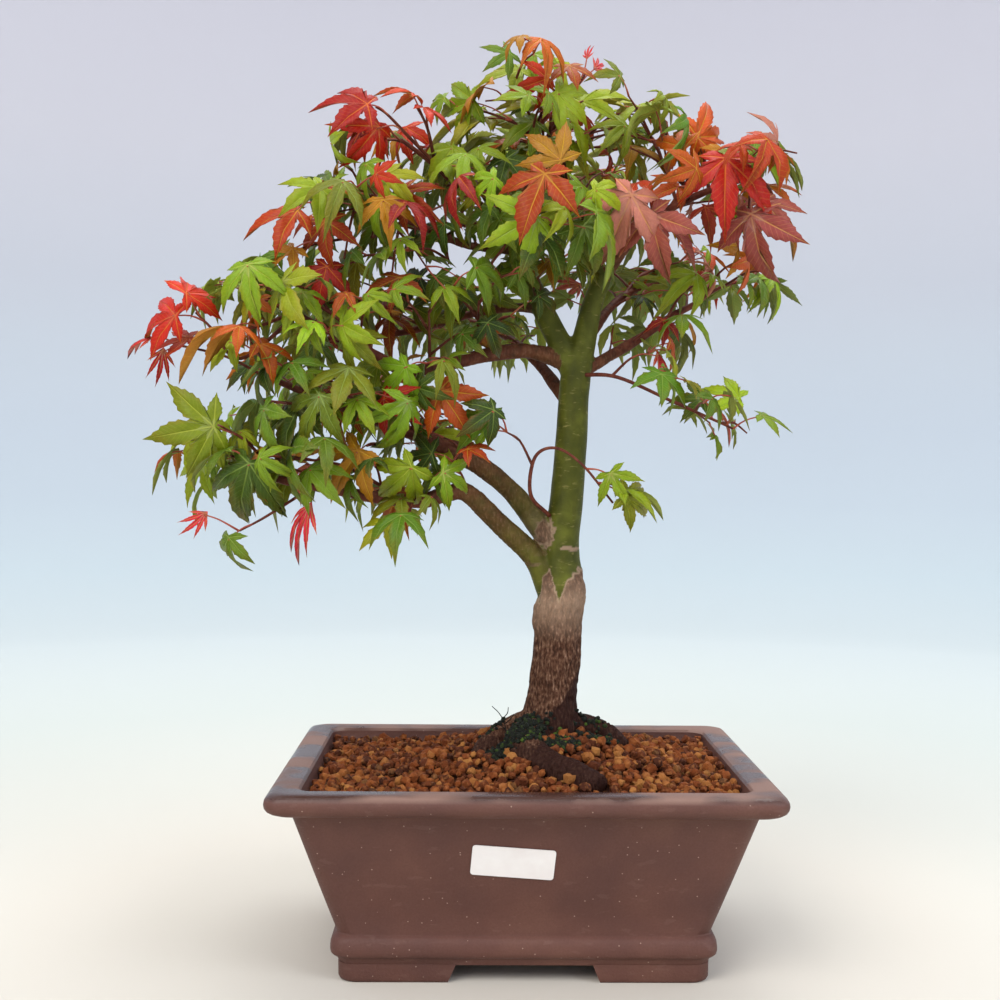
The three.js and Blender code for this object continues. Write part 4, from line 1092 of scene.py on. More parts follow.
@dataclass
class Wood:
    """The trunk with its surface roots and every bough, grown together into one skin."""

    thick: float = 2.0
    voxel: float = 0.95
    # The trunk's bark turns green at this height, over this distance.
    green_from: float = 200.0
    green_over: float = 9.0
    # The box round the collar: heights, middle and half-width.
    collar_box: tuple[float, float, float, float] = (182.0, 216.0, 20.0, 17.0)
    # Where the rough bark ends on the trunk's front: x and height.
    collar: tuple[tuple[float, float], ...] = (
        (4, 186), (9, 190), (11, 203), (14, 208), (19, 190), (24, 201), (30, 207), (36, 206)
    )
    # Old scars on the young bark: x, height, half-width, half-height, and how green they stay.
    scars: tuple[tuple[float, float, float, float, float], ...] = (
        (11, 228, 5, 8, 0.1), (-16, 225, 2, 2, 0.2), (2, 211, 6, 1.2, 0.5), (26, 220, 6, 1.0, 0.5)
    )
    samples: list[tuple[Vector, float, float, float]] = field(default_factory=list)

    def grow(self) -> tuple[bmesh.types.BMesh, bmesh.types.BMesh]:
        """Grows the limbs as overlapping tubes.

        Returns:
            The thick ones, for the remeshed skin, and the thin ends.
        """
        stout, thin = bmesh.new(), bmesh.new()
        for limb in LIMBS:
            line = limb.line()
            radii = spread(limb.radii, len(line))
            green0, red0, green1, red1 = limb.skin.value
            for k, (point, radius) in enumerate(zip(line, radii)):
                share = min(1.0, 1.9 * k / (len(line) - 1)) if len(limb.radii) == 2 else 0.0
                green, red = green0 + (green1 - green0) * share, red0 + (red1 - red0) * share
                if limb.name == "trunk" and point.z > 150:
                    wave = 3 * math.sin(point.z)
                    green = min(1.0, max(0.0, (point.z + wave - self.green_from) / self.green_over))
                self.samples.append((point, radius, green, red))
            last = 0
            if radii[0] > self.thick:
                last = next((k for k, r in enumerate(radii) if r < self.thick), len(radii))
            if last > 2:
                grow_tube(stout, line[: last + 2], radii[: last + 2], 20)
            if last < len(line) - 1:
                grow_tube(thin, line[max(last - 3, 0) :], radii[max(last - 3, 0) :], 10)
        return stout, thin

    def tree(self) -> "kdtree.KDTree":
        """Gathers points on the trunk's and roots' skin, in the pot frame.

        Returns:
            A tree of them, for whatever keeps clear of the wood.
        """
        points = []
        for limb in LIMBS[:6]:
            line = limb.line(10)
            for point, radius in zip(line, spread(limb.radii, len(line))):
                for k in range(16):
                    angle = k * math.pi / 8
                    points.append(point + Vector((math.cos(angle), math.sin(angle), 0)) * radius * 0.9)
                    points.append(point + Vector((0, math.cos(angle), math.sin(angle))) * radius * 0.9)
                    points.append(point)
        made = kdtree.KDTree(len(points))
        for k, point in enumerate(points):
            made.insert(point, k)
        made.balance()
        return made

    def relief(self, point: Vector, green: float, red: float) -> float:
        """Finds how far the bark stands out.

        Args:
            point: the place in the pot frame.
            green: how green the bark is.
            red: how red it is.

        Returns:
            The distance in millimetres.
        """
        fissured = (1 - green) * (1 - red)
        tall = Vector((point.x, point.y, point.z * 0.22))
        broad = noise.noise(point * 0.055) * 1.3
        lumps = noise.noise(point * 0.16 + Vector((7, 3, 1))) * 0.7
        cracks = abs(noise.noise(tall * 0.34 + Vector((2, 9, 4))))
        cracked = broad + lumps - 1.7 * max(0.0, 0.2 - cracks) * 4 * 0.8
        knot = math.exp(-(((point.z - 197) / 9) ** 2)) * (0.8 + 1.6 * noise.noise(point * 0.19)) * fissured
        return fissured * cracked + (1 - fissured) * broad * 0.35 + knot

    def paint(self, mesh: bpy.types.Mesh, sculpt: bool) -> None:
        """Gives each vertex its green and red.

        Args:
            mesh: the mesh of bark.
            sculpt: True to stand the bark out along the normals too.
        """
        near = kdtree.KDTree(len(self.samples))
        for k, (point, _, _, _) in enumerate(self.samples):
            near.insert(point, k)
        near.balance()
        count = len(mesh.vertices)
        places, normals = np.empty(count * 3), np.empty(count * 3)
        mesh.vertices.foreach_get("co", places)
        mesh.vertices.foreach_get("normal", normals)
        places, normals = places.reshape(-1, 3), normals.reshape(-1, 3)
        green_values, red_values = [], []
        low, high, middle, half = self.collar_box
        for k in range(count):
            point = Place.pot(places[k])
            found = near.find_n(point, 5)
            best = min(found, key=lambda f: f[2] - self.samples[f[1]][1])
            _, _, green, red = self.samples[best[1]]
            if low < point.z < high and abs(point.x - middle) < half:
                collar = np.interp(point.x, *zip(*self.collar)) if point.y < 5 else 200
                green = (point.z - collar + 3 * noise.noise(point * 0.35)) / 2.2
            for x, z, wide, tall, least in self.scars:
                if point.y < 10 and abs(point.x - x) < wide * 1.6 and abs(point.z - z) < tall * 1.6:
                    reach = math.hypot((point.x - x) / wide, (point.z - z) / tall)
                    reach += 0.5 * noise.noise(point * 0.5)
                    green = min(green, max(least, (reach - 0.7) / 0.5))
            green_values.append(min(1.0, max(0.0, green)))
            red_values.append(red)
            if sculpt:
                places[k] += normals[k] * self.relief(point, green_values[-1], red) * MM
        mesh.vertices.foreach_set("co", places.ravel())
        mesh.update()
        for name, values in (("green", green_values), ("red", red_values)):
            mesh.attributes.new(name, "FLOAT", "POINT").data.foreach_set("value", values)

    def build(self) -> list[bpy.types.Object]:
        """Builds the skin and the thin ends.

        Returns:
            The two pieces.
        """
        stout, thin = self.grow()
        helper = scratch(stout, "wood_tubes")
        remesh = helper.modifiers.new("skin", "REMESH")
        remesh.mode, remesh.voxel_size, remesh.use_smooth_shade = "VOXEL", self.voxel * MM, True
        relax = helper.modifiers.new("relax", "SMOOTH")
        relax.factor, relax.iterations = 0.5, 4
        mesh = baked(helper)
        discard(helper)
        self.paint(mesh, True)
        finish = LivingBark(soil_top=118 + Place.origin.z / MM, foot_x=15 + Place.origin.x / MM).material()
        names = sorted({limb.name for limb in LIMBS})
        skin = dress(mesh, "trunk_and_boughs", [finish], names)
        tips = bpy.data.meshes.new("thin_boughs")
        bmesh.ops.recalc_face_normals(thin, faces=thin.faces)
        thin.to_mesh(tips)
        thin.free()
        self.paint(tips, False)
        return [skin, dress(tips, "thin_boughs", [finish])]


# ---------------------------------------------------------------- twigs
@dataclass(frozen=True)
class Twig:
    """A thin leafy shoot.

    Attributes:
        node: the CAD node whose twig and leaves it stands for.
        route: its middle line in the pot frame.
        radii: its radius at the start and at the tip.
    """

    node: str
    route: tuple[tuple[float, float, float], ...]
    radii: tuple[float, float] = (1.15, 0.55)


SHOOTS = (
    Twig("shoot_left_red", ((-122, -36, 344), (-150, -44, 320), (-164, -50, 335), (-172, -52, 343))),
    Twig("shoot_left_orange", ((-124, -36, 345), (-140, -52, 336), (-150, -58, 334))),
    Twig(
        "shoot_left_buds",
        ((-142, -26, 313), (-160, -32, 322), (-182, -38, 327), (-190, -40, 329)),
        (0.9, 0.5),
    ),
    Twig("shoot_upper_left_orange", ((-95, -36, 406), (-108, -42, 402), (-114, -46, 401))),
    Twig("shoot_crown_left_red", ((-38, -8, 418), (-62, -34, 437), (-74, -46, 447), (-80, -50, 450))),
    Twig("shoot_crown_left_tip", ((-50, -18, 427), (-54, -32, 444), (-60, -40, 454))),
    Twig("shoot_crown_buds", ((9.5, 0, 442), (16, -6, 457), (25, -10, 470), (31, -12, 479)), (1.4, 0.6)),
    Twig("shoot_crown_gold", ((14, 1, 435), (12, -14, 446), (12, -26, 452))),
    Twig("shoot_crown_right_orange", ((76, -24, 404), (88, -30, 424), (90, -36, 436))),
    Twig("shoot_right_red", ((98, -34, 413), (100, -50, 416), (98, -62, 422))),
    Twig("shoot_right_pink", ((118, -42, 417), (114, -54, 408), (112, -60, 398))),
    Twig("shoot_right_gold", ((118, -42, 418), (126, -38, 414), (130, -34, 410))),
    Twig("shoot_centre_orange", ((-8, -58, 397), (0, -74, 410), (8, -80, 413))),
    Twig("shoot_centre_pink", ((52, -8, 384), (52, -40, 398), (50, -66, 404))),
    Twig("shoot_front_gold", ((-42, -13, 250), (-48, -32, 258), (-54, -46, 262))),
    Twig("shoot_front_green", ((-86, -15, 291), (-92, -40, 300), (-98, -58, 304))),
    Twig("shoot_front_bronze", ((-68, -12, 285), (-76, -32, 278), (-84, -44, 275))),
    Twig("shoot_left_gold", ((-131, -34, 257), (-146, -44, 276), (-158, -50, 284))),
    Twig("shoot_low_hanging", ((-114, -32, 253), (-136, -42, 238), (-150, -46, 230)), (0.9, 0.5)),
    Twig(
        "shoot_right_long",
        ((30, -4, 316), (50, -16, 314), (80, -26, 300), (104, -32, 289), (110, -34, 286)),
        (1.2, 0.6),
    ),
    Twig(
        "shoot_front_curl",
        ((14, -6, 238), (3, -18, 250), (5, -24, 270), (16, -28, 275), (30, -34, 266), (46, -38, 246)),
        (1.2, 0.6),
    ),
)
# The sprays that fill the head of leaves: the bough each leaves, how far along it, and how far it reaches.
SPRAYS = (
    ("bough_lower_left", 0.55, (-62, -20, 22)),
    ("bough_lower_left", 0.8, (-50, 30, 12)),
    ("bough_middle_left", 0.6, (-58, -26, 12)),
    ("bough_middle_left_back", 0.5, (-66, 42, 20)),
    ("bough_upper_left", 0.55, (-58, -30, 34)),
    ("bough_left_back", 0.5, (-70, 34, 16)),
    ("bough_left_high", 0.45, (-60, -4, 22)),
    ("stem_left", 0.95, (-24, 30, 28)),
    ("leader", 0.6, (-34, -30, 34)),
    ("bough_upper_right", 0.5, (50, 4, 28)),
    ("bough_right", 0.7, (46, 6, 18)),
    ("bough_back_left", 0.5, (-44, 58, 22)),
    ("bough_back_right", 0.5, (34, 56, 24)),
    ("bough_crown_back", 0.4, (0, 56, 26)),
    ("bough_front", 0.35, (10, -56, 6)),
)


def spray_twig(index: int) -> Twig:
    """Makes the twig of one spray.

    Args:
        index: its place in SPRAYS.

    Returns:
        The twig, from the bough it leaves.
    """
    bough, share, reach = SPRAYS[index]
    start = next(limb for limb in LIMBS if limb.name == bough).at(share)[0]
    way = Vector(reach)
    middle = start + way * 0.5 + UP * way.length * 0.1
    return Twig(f"spray_{index + 1:02d}", (tuple(start), tuple(middle), tuple(start + way)), (1.2, 0.6))


# ---------------------------------------------------------------- leaves
class Hue(Enum):
    """A leaf's colour family: its material slot, and the colours its leaves are drawn from."""

    RED = ("leaf_red", ("#b41a08", "#a01408", "#c0280a", "#8a120e", "#b0300c"))
    ORANGE = ("leaf_orange", ("#b4480a", "#bc560c", "#b0740c", "#a03e0c", "#a6320c", "#a46c0e"))
    PINK = ("leaf_pink", ("#a04e42", "#92443c", "#ac5e50", "#b86c5c"))
    HOT = ("leaf_pink", ("#cf1226", "#bc0c20", "#d82036", "#a81020"))
    GOLD = ("leaf_gold", ("#7c940e", "#90a212", "#6c860e", "#94a41a", "#7e8c0e", "#94900e"))
    GREEN = (
        "leaf_green",
        ("#648410", "#52720e", "#7e980e", "#40580e", "#8ea614", "#30460c", "#6a7410", "#567014", "#769014"),
    )


@dataclass(frozen=True)
class MapleLeafFace(Finish):
    """The upper face of a living maple leaf.

    A thin waxy cuticle gives a soft sheen; midribs and side veins are paler, and the tips age and redden.
    """

    name: str = "maple_leaf_face"
    roughness: float = 0.46
    vein: str = "#c8c878"
    aged: str = "#8a5a2a"
    vein_strength: float = 0.6
    aged_strength: float = 0.45

    def material(self) -> bpy.types.Material:
        """Builds the material.

        Returns:
            The material, ready for a piece's slots.
        """
        material, node, shader = self.start()
        point = self.object_point(node)
        tint = node("Attribute", attribute_name="tint", output="Color")
        lobe = node("UVMap", uv_map="lobe")
        along = node("SeparateXYZ", lobe, output="X")
        across = node("Math.ABSOLUTE", node("SeparateXYZ", lobe, output="Y"))
        # Midrib: tapers from 0.6 mm at the stalk to nothing at the tip, drawn a little wide so that it shows.
        width = node("Math.MULTIPLY_ADD", node("Math.SUBTRACT", 1.05, along), 0.010, 0.003)
        rib = node("Math.SUBTRACT", 1.35, node("Math.DIVIDE", across, width), use_clamp=True)
        # Side veins leave the midrib at 45 degrees, about 2.5 mm apart.
        slant = node("Math.MULTIPLY", node("Math.SUBTRACT", along, node("Math.MULTIPLY", across, 1.1)), 13.0)
        comb = node("Math.ABSOLUTE", node("Math.SUBTRACT", node("Math.FRACT", slant), 0.5))
        side = node("Math.SUBTRACT", 1.0, node("Math.MULTIPLY", comb, 9.0), use_clamp=True)
        veins = node("Math.MAXIMUM", rib, node("Math.MULTIPLY", side, 0.3))
        mottle = node("TexNoise", point, Scale=1 / 7, Detail=3)
        fine = node("TexNoise", point, Scale=1 / 1.4, Detail=2)
        shade = node("Math.ADD", 0.66, node("Math.MULTIPLY", node("Math.ADD", mottle, fine), 0.3))
        grey = node("CombineColor", shade, shade, shade)
        colour = node("Mix.MULTIPLY", 1.0, tint, grey)
        reach = node("Math.MULTIPLY", node("Math.SUBTRACT", along, 0.42), 1.9, use_clamp=True)
        patchy = node("Math.MULTIPLY", node("Math.SUBTRACT", mottle, 0.3), 2.4, use_clamp=True)
        patchy = node("Math.MULTIPLY", reach, patchy)
        margin = node("Math.MULTIPLY_ADD", across, 12.0, -1.1, use_clamp=True)
        margin = node("Math.MULTIPLY", margin, node("Math.MULTIPLY", mottle, 1.3))
        patchy = node("Math.MAXIMUM", patchy, margin)
        colour = node("Mix.MIX", node("Math.MULTIPLY", patchy, self.aged_strength), colour, self.aged)
        colour = node("Mix.MIX", node("Math.MULTIPLY", veins, self.vein_strength), colour, self.vein)
        feed(shader.inputs["Base Color"], colour)
        shader.inputs["Specular IOR Level"].default_value = 0.3
        shader.inputs["Subsurface Weight"].default_value = 0.12
        shader.inputs["Subsurface Radius"].default_value = (1.0, 0.7, 0.3)
        shader.inputs["Subsurface Scale"].default_value = 1.5 * MM
        relief = node("Math.ADD", node("Math.MULTIPLY", veins, -1.0), fine)
        feed(shader.inputs["Normal"], node("Bump", Height=relief, Distance=0.25 * MM))
        return material


@dataclass(frozen=True)
class MapleLeafUnderside(MapleLeafFace):
    """The underside of a living maple leaf: paler, matt and slightly bloomed, with raised veins."""

    name: str = "maple_leaf_underside"
    roughness: float = 0.72
    bloom: str = "#b7bf8e"
    bloom_strength: float = 0.4

    def material(self) -> bpy.types.Material:
        """Builds the material: the face's, under a pale bloom.

        Returns:
            The material, ready for a piece's slots.
        """
        material = super().material()
        tree = material.node_tree
        socket = tree.nodes["Principled BSDF"].inputs["Base Color"]
        colour = socket.links[0].from_socket
        feed(socket, add_node(tree, "Mix.MIX", self.bloom_strength, colour, self.bloom))
        return material


@dataclass(frozen=True)
class YoungStalk(Finish):
    """A leaf stalk: smooth, slightly waxy, red with orange-brown streaks."""

    name: str = "young_leaf_stalk"
    roughness: float = 0.42

    def material(self) -> bpy.types.Material:
        """Builds the material.

        Returns:
            The material, ready for a piece's slots.
        """
        material, node, shader = self.start()
        point = self.object_point(node)
        streak = node("TexNoise", point, Scale=1 / 9, Detail=3)
        colour = node("ValToRGB", streak, stops=((0.3, "#7a2a22"), (0.5, "#9c3428"), (0.72, "#a8603a")))
        fine = node("TexNoise", point, Scale=1 / 1.0, Detail=2)
        colour = node("Mix.MIX", node("Math.MULTIPLY", fine, 0.3), colour, "#c07850")
        feed(shader.inputs["Base Color"], colour)
        feed(shader.inputs["Normal"], node("Bump", Height=fine, Distance=0.1 * MM))
        return material


# The middle of the head of leaves and how far it reaches each way, in the pot frame; blades near this middle
# get painted shade.
HEAD_MIDDLE = (-30.0, 0.0, 362.0)
HEAD_REACH = (185.0, 95.0, 125.0)


@dataclass
class Leaf:
    """One leaf of the tree, in the pot frame.

    Attributes:
        junction: where its blade meets its stalk.
        tip: the way its tip points.
        face: the way its upper face looks.
        length: from the junction to the tip.
        hue: its colour family.
        root: where its stalk leaves the twig.
        node: the CAD node it stands for, if any.
    """

    junction: Vector
    tip: Vector
    face: Vector
    length: float
    hue: Hue
    root: Vector
    node: str = ""

    def centre(self) -> Vector:
        """The middle of the blade."""
        return self.junction + self.tip * self.length * 0.35


@dataclass
class Blade:
    """A palmate blade of unit length with toothed lobes, as a thin closed shell ready to be bent and stamped.

    Attributes:
        lobes: each lobe's angle in degrees and its reach, from one side to the other.
        width: scales how broad the lobes are.
        waist: reach of the notches between the lobes.
        full: size against the length that a leaf's place gives.
    """

    lobes: tuple[tuple[float, float], ...] = ((-106, 0.46), (-52, 0.88), (0, 1.0), (50, 0.86), (104, 0.44))
    width: float = 1.0
    waist: float = 0.3
    shell: float = 0.008
    full: float = 0.96
    # Half of a lobe's toothed edge from its notch to its tip: share of the reach, half-width per unit length.
    edge: tuple[tuple[float, float], ...] = (
        (0.34, 0.135), (0.44, 0.182), (0.48, 0.158), (0.57, 0.172), (0.61, 0.138), (0.70, 0.132),
        (0.735, 0.088), (0.82, 0.070), (0.86, 0.036),
    )
    mesh: bpy.types.Mesh = field(init=False)
    points: np.ndarray = field(init=False)

    def outline(self) -> list[tuple[Vector, int]]:
        """Draws the outline from the rear notch round.

        Returns:
            The outline's points in order, each with the lobe it belongs to.
        """
        made: list[tuple[Vector, int]] = []
        for k, (angle, reach) in enumerate(self.lobes):
            before = self.lobes[k - 1][0] - (360 if k == 0 else 0)
            turn = math.radians((before + angle) / 2)
            waist = 0.05 if k == 0 else self.waist * (0.6 + 0.4 * min(reach, self.lobes[k - 1][1]))
            made.append((Vector((math.cos(turn), math.sin(turn), 0)) * waist, k))
            away = Matrix.Rotation(math.radians(angle), 4, "Z")
            half = [(share * reach, -w * self.width * (0.25 + 0.75 * reach)) for share, w in self.edge]
            for x, y in [*half, (reach, 0.0), *((x, -y) for x, y in reversed(half))]:
                made.append((away @ Vector((x, y, 0)), k))
        return made

    def __post_init__(self) -> None:
        """Shapes the outline, the lobe map and the shell."""
        outline = self.outline()
        bm = bmesh.new()
        count = len(outline)
        made = bmesh.ops.create_circle(bm, cap_ends=True, cap_tris=True, segments=count, radius=1.0)["verts"]
        ring = sorted((v for v in made if v.co.length > 0.5), key=lambda v: math.atan2(v.co.y, v.co.x))
        heart = next(v for v in bm.verts if v.co.length < 0.5)
        owner = {}
        for vert, (place, lobe) in zip(ring, outline):
            vert.co = place
            owner[vert] = lobe
        layer = bm.loops.layers.uv.new("lobe")
        for face in bm.faces:
            rim = [v for v in face.verts if v is not heart]
            owners = {owner[rim[0]], owner[rim[1]]}
            lobe = len(self.lobes) - 1 if owners == {0, len(self.lobes) - 1} else min(owners)
            back = Matrix.Rotation(-math.radians(self.lobes[lobe][0]), 4, "Z")
            for loop in face.loops:
                local = back @ loop.vert.co
                loop[layer].uv = (local.x, local.y)
        bmesh.ops.subdivide_edges(bm, edges=list(heart.link_edges), cuts=1)
        bmesh.ops.recalc_face_normals(bm, faces=bm.faces)
        if sum(f.normal.z for f in bm.faces) < 0:
            bmesh.ops.reverse_faces(bm, faces=bm.faces)
        bmesh.ops.solidify(bm, geom=bm.faces[:], thickness=self.shell)
        bmesh.ops.recalc_face_normals(bm, faces=bm.faces)
        for face in bm.faces:
            face.material_index = 1 if face.normal.z < -0.5 else 0
        self.mesh = bpy.data.meshes.new("blade_template")
        bm.to_mesh(self.mesh)
        bm.free()
        self.mesh.attributes.new("tint", "FLOAT_COLOR", "POINT")
        self.points = np.empty(len(self.mesh.vertices) * 3)
        self.mesh.vertices.foreach_get("co", self.points)
        self.points = self.points.reshape(-1, 3)

    def bend(self, rng: random.Random, limp: float) -> np.ndarray:
        """Curves the blade as a living leaf: its lobes droop, fold along their midribs and curl at the tips.

        Args:
            rng: the source of each leaf's own form.
            limp: how far the lobes droop, about 0.1 to 0.5.

        Returns:
            The bent points, one row each.
        """
        x, y, z = self.points.T
        reach, turn = np.hypot(x, y), np.arctan2(y, x)
        wave = [(rng.uniform(-1, 1), rng.uniform(0, TURN)) for _ in range(4)]
        sides = 0.5 * wave[0][0] * np.cos(turn + wave[0][1])
        lobes = 0.45 * wave[1][0] * np.cos(3 * turn + wave[1][1])
        droop = limp * (1 + sides + lobes)
        curl = 0.5 * rng.random() * (1 + wave[2][0] * np.cos(2 * turn + wave[2][1]))
        sway = 0.16 * wave[3][0] * np.sin(3.5 * turn + wave[3][1])
        lobe_turns = np.radians([a for a, _ in self.lobes])
        off = np.min(np.abs(turn[:, None] - lobe_turns[None, :]), axis=1) * reach
        far = np.maximum(0, reach - 0.5)
        turn = turn + sway * far
        drop = droop * reach**1.7 + curl * far**2 * 1.6
        pull = 1 - 0.32 * np.minimum(1.0, drop) ** 2
        fold = rng.uniform(0.15, 0.55) * off
        return np.stack([reach * pull * np.cos(turn), reach * pull * np.sin(turn), z - drop + fold], axis=1)

    def stamp(self, bm: bmesh.types.BMesh, leaf: Leaf, rng: random.Random, limp: float) -> None:
        """Adds one leaf's blade, with painted shade: the nearer it grows to the middle of the head, the
        darker its tint.

        Args:
            bm: the bmesh it is added to.
            leaf: the leaf.
            rng: the source of its form and tone.
            limp: how far its lobes droop.
        """
        middle = leaf.centre()
        depth = math.hypot(*((middle[k] - HEAD_MIDDLE[k]) / HEAD_REACH[k] for k in range(3)))
        tip = leaf.tip.normalized()
        face = Matrix.Rotation(rng.uniform(-0.8, 0.8), 3, tip) @ leaf.face.normalized()
        tip = (tip + face * rng.uniform(-0.3, 0.3)).normalized()
        face = (face - tip * face.dot(tip)).normalized()
        turn = np.array((tip, face.cross(tip), face))
        placed = self.bend(rng, limp) @ turn * leaf.length * self.full * MM
        placed = placed + np.array(Place.row(leaf.junction))
        self.mesh.vertices.foreach_set("co", placed.ravel())
        red, green, blue, _ = linear(rng.choice(leaf.hue.value[1]))
        # Painted shade: blades deep inside the head get a darker tint, standing in for the shadow of the
        # leaves around them.
        share = rng.uniform(0.8, 1.12) * min(1.0, 0.3 + 0.84 * depth)
        tint = (
            red * share * rng.uniform(0.9, 1.1), green * share * rng.uniform(0.92, 1.08), blue * share, 1.0
        )
        self.mesh.attributes["tint"].data.foreach_set("color", list(tint) * len(self.mesh.vertices))
        bm.from_mesh(self.mesh)


# For each leaf slot: the colours of its veins, its aged tips and its underside, and how strong the veins are.
BLADE_TONES = {
    "leaf_red": ("#e07c2c", "#6c0c10", "#a8483a", 0.6),
    "leaf_orange": ("#d8a42c", "#842010", "#a86c34", 0.6),
    "leaf_pink": ("#dc9c5c", "#70282a", "#b4786a", 0.62),
    "leaf_gold": ("#c0c44c", "#8c4a14", "#929a58", 0.42),
    "leaf_green": ("#a4ba58", "#8a481a", "#8a9a5c", 0.42),
}
# The edge of a small leaf, with fewer teeth, because it is repeated hundreds of times.
SMALL_EDGE = ((0.36, 0.14), (0.49, 0.184), (0.53, 0.154), (0.70, 0.134), (0.745, 0.088))


@dataclass
class Canopy:
    """The leaves with their stalks and twigs: those of the CAD shoots, and smaller ones that fill the head.

    Attributes:
        spacing: least distance between two blades' middles.
        side_pitch: how far apart side twigs leave their bough.
        least_blade: CAD faces smaller than this, in square millimetres, belong to stalks.
        young_shoots: the shoots whose leaves have just opened.
        outline: the head's outline seen from the front, x and z in the pot frame.
    """

    seed: int = 41
    spacing: float = 13.5
    side_pitch: float = 13.0
    least_blade: float = 90.0
    young_shoots: tuple[str, ...] = ("shoot_left_buds", "shoot_crown_buds", "shoot_low_hanging")
    outline: tuple[tuple[float, float], ...] = (
        (-227, 352), (-201, 364), (-176, 377), (-154, 391), (-131, 404), (-109, 407), (-123, 447),
        (-99, 468), (-75, 469), (-48, 463), (-16, 480), (7, 490), (29, 492), (43, 481), (74, 475),
        (102, 465), (118, 450), (138, 430), (152, 410), (139, 373), (128, 352), (97, 336), (120, 320),
        (151, 297), (103, 253), (73, 246), (52, 300), (44, 345), (8, 345), (3, 300), (-13, 263), (-22, 246),
        (-47, 228), (-85, 219), (-110, 209), (-130, 220), (-161, 228), (-178, 205), (-196, 224),
        (-207, 250), (-218, 272), (-203, 309), (-221, 328),
    )
    # Where twigs lean forward and close the head between the tiers: x, y and height.
    thickets: tuple[tuple[float, float, float], ...] = (
        (-42, -34, 372), (-72, -42, 362), (-14, -40, 378), (-52, -44, 345), (-26, -38, 352), (-96, -48, 372),
        (-60, -30, 388), (-84, -20, 388), (4, -38, 394), (-34, -20, 400),
        (60, -22, 452), (44, -34, 442), (78, -10, 446), (50, 12, 456), (28, -36, 458), (92, -24, 438),
        (-10, -30, 462),
    )
    leaves: list[Leaf] = field(default_factory=list)
    twigs: list[tuple[list[Vector], list[float]]] = field(default_factory=list)

    def recover(self, twig: Twig, hue: Hue) -> None:
        """Reads the CAD node's flat blades, so that the finished leaves take their places.

        Args:
            twig: the twig that stands for the node.
            hue: its leaves' colour family.
        """
        corners = [(math.radians(a), r) for a, r in ((0, 1), (24, 0.36), (52, 0.82), (80, 0.3), (112, 0.56))]
        ring = [(r * math.cos(a), r * math.sin(a)) for a, r in corners]
        ring += [(x, -y) for x, y in reversed(ring[1:])]
        unit_area = abs(sum(x0 * y1 - x1 * y0 for (x0, y0), (x1, y1) in zip(ring, ring[1:] + ring[:1]))) / 2
        bm = bmesh.new()
        bm.from_mesh(frame["nodes"][twig.node].data)
        bmesh.ops.remove_doubles(bm, verts=bm.verts, dist=1e-6)
        bm.faces.ensure_lookup_table()
        done: set[int] = set()
        line = smooth_line(twig.route, 8)
        for start in bm.faces:
            if start.index in done:
                continue
            flat, stack = [], [start]
            done.add(start.index)
            while stack:
                face = stack.pop()
                flat.append(face)
                for edge in face.edges:
                    for other in edge.link_faces:
                        if other.index not in done and other.normal.dot(start.normal) > 0.9999:
                            done.add(other.index)
                            stack.append(other)
            area = sum(f.calc_area() for f in flat) / MM**2
            if area < self.least_blade or start.normal.z < 0.001:
                continue
            middle = Vector()
            for face in flat:
                middle += face.calc_center_median() * face.calc_area() / MM**2 / area
            far = max({v for f in flat for v in f.verts}, key=lambda v: (v.co - middle).length).co
            length = math.sqrt(area / unit_area)
            tip = (far - middle).normalized()
            junction = Place.pot(far) - tip * length
            for _ in range(4):
                end = junction + tip * length
                if not self.inside(end.x, end.z):
                    length *= 0.93
                if not self.inside(junction.x, junction.z):
                    junction = junction + (line[-1] - junction) * 0.2
            root = min(line, key=lambda p: abs((p - junction).length - 15))
            self.leaves.append(Leaf(junction, tip, start.normal.copy(), length, hue, root.copy(), twig.node))
        bm.free()

    def inside(self, x: float, z: float) -> bool:
        """Tells if a point seen from the front is within the head's outline.

        Args:
            x: to the right, in the pot frame.
            z: its height.

        Returns:
            True if it is.
        """
        hit = False
        for (x0, z0), (x1, z1) in zip(self.outline, self.outline[1:] + self.outline[:1]):
            if (z0 > z) != (z1 > z) and x < x0 + (z - z0) * (x1 - x0) / (z1 - z0):
                hit = not hit
        return hit

    def free(self, leaf: Leaf) -> bool:
        """Tells if a new leaf is inside the head and clear of the others.

        Args:
            leaf: the leaf.

        Returns:
            True if it is.
        """
        low, high = Place.pot(CAD_BOX[0]), Place.pot(CAD_BOX[1])
        end = leaf.junction + leaf.tip * leaf.length
        for point in (leaf.junction, leaf.centre(), end):
            if not self.inside(point.x, point.z):
                return False
            if not all(low[k] + 3 < point[k] < high[k] - 3 for k in range(3)):
                return False
        middle = leaf.centre()
        return all((other.centre() - middle).length > self.spacing for other in self.leaves)

    def hue_at(self, rng: random.Random, x: float, z: float) -> Hue:
        """Picks a leaf's colour family: green inside and low, young colours outside and high.

        Args:
            rng: the source of the pick.
            x: where it grows, to the right.
            z: its height.

        Returns:
            The family.
        """
        pick = rng.random()
        if z > 430 and -70 < x < 80:
            shares = ((0.36, Hue.GOLD), (0.66, Hue.GREEN), (0.9, Hue.ORANGE), (1.0, Hue.RED))
        elif x > 62 and z > 375:
            shares = ((0.4, Hue.ORANGE), (0.66, Hue.GREEN), (0.84, Hue.RED), (1.0, Hue.PINK))
        elif x < -150 and z > 320:
            shares = ((0.3, Hue.ORANGE), (0.66, Hue.GREEN), (1.0, Hue.GOLD))
        else:
            shares = (
                (0.58, Hue.GREEN), (0.77, Hue.GOLD), (0.92, Hue.ORANGE), (0.97, Hue.RED), (1.0, Hue.HOT)
            )
        return next(hue for share, hue in shares if pick <= share)

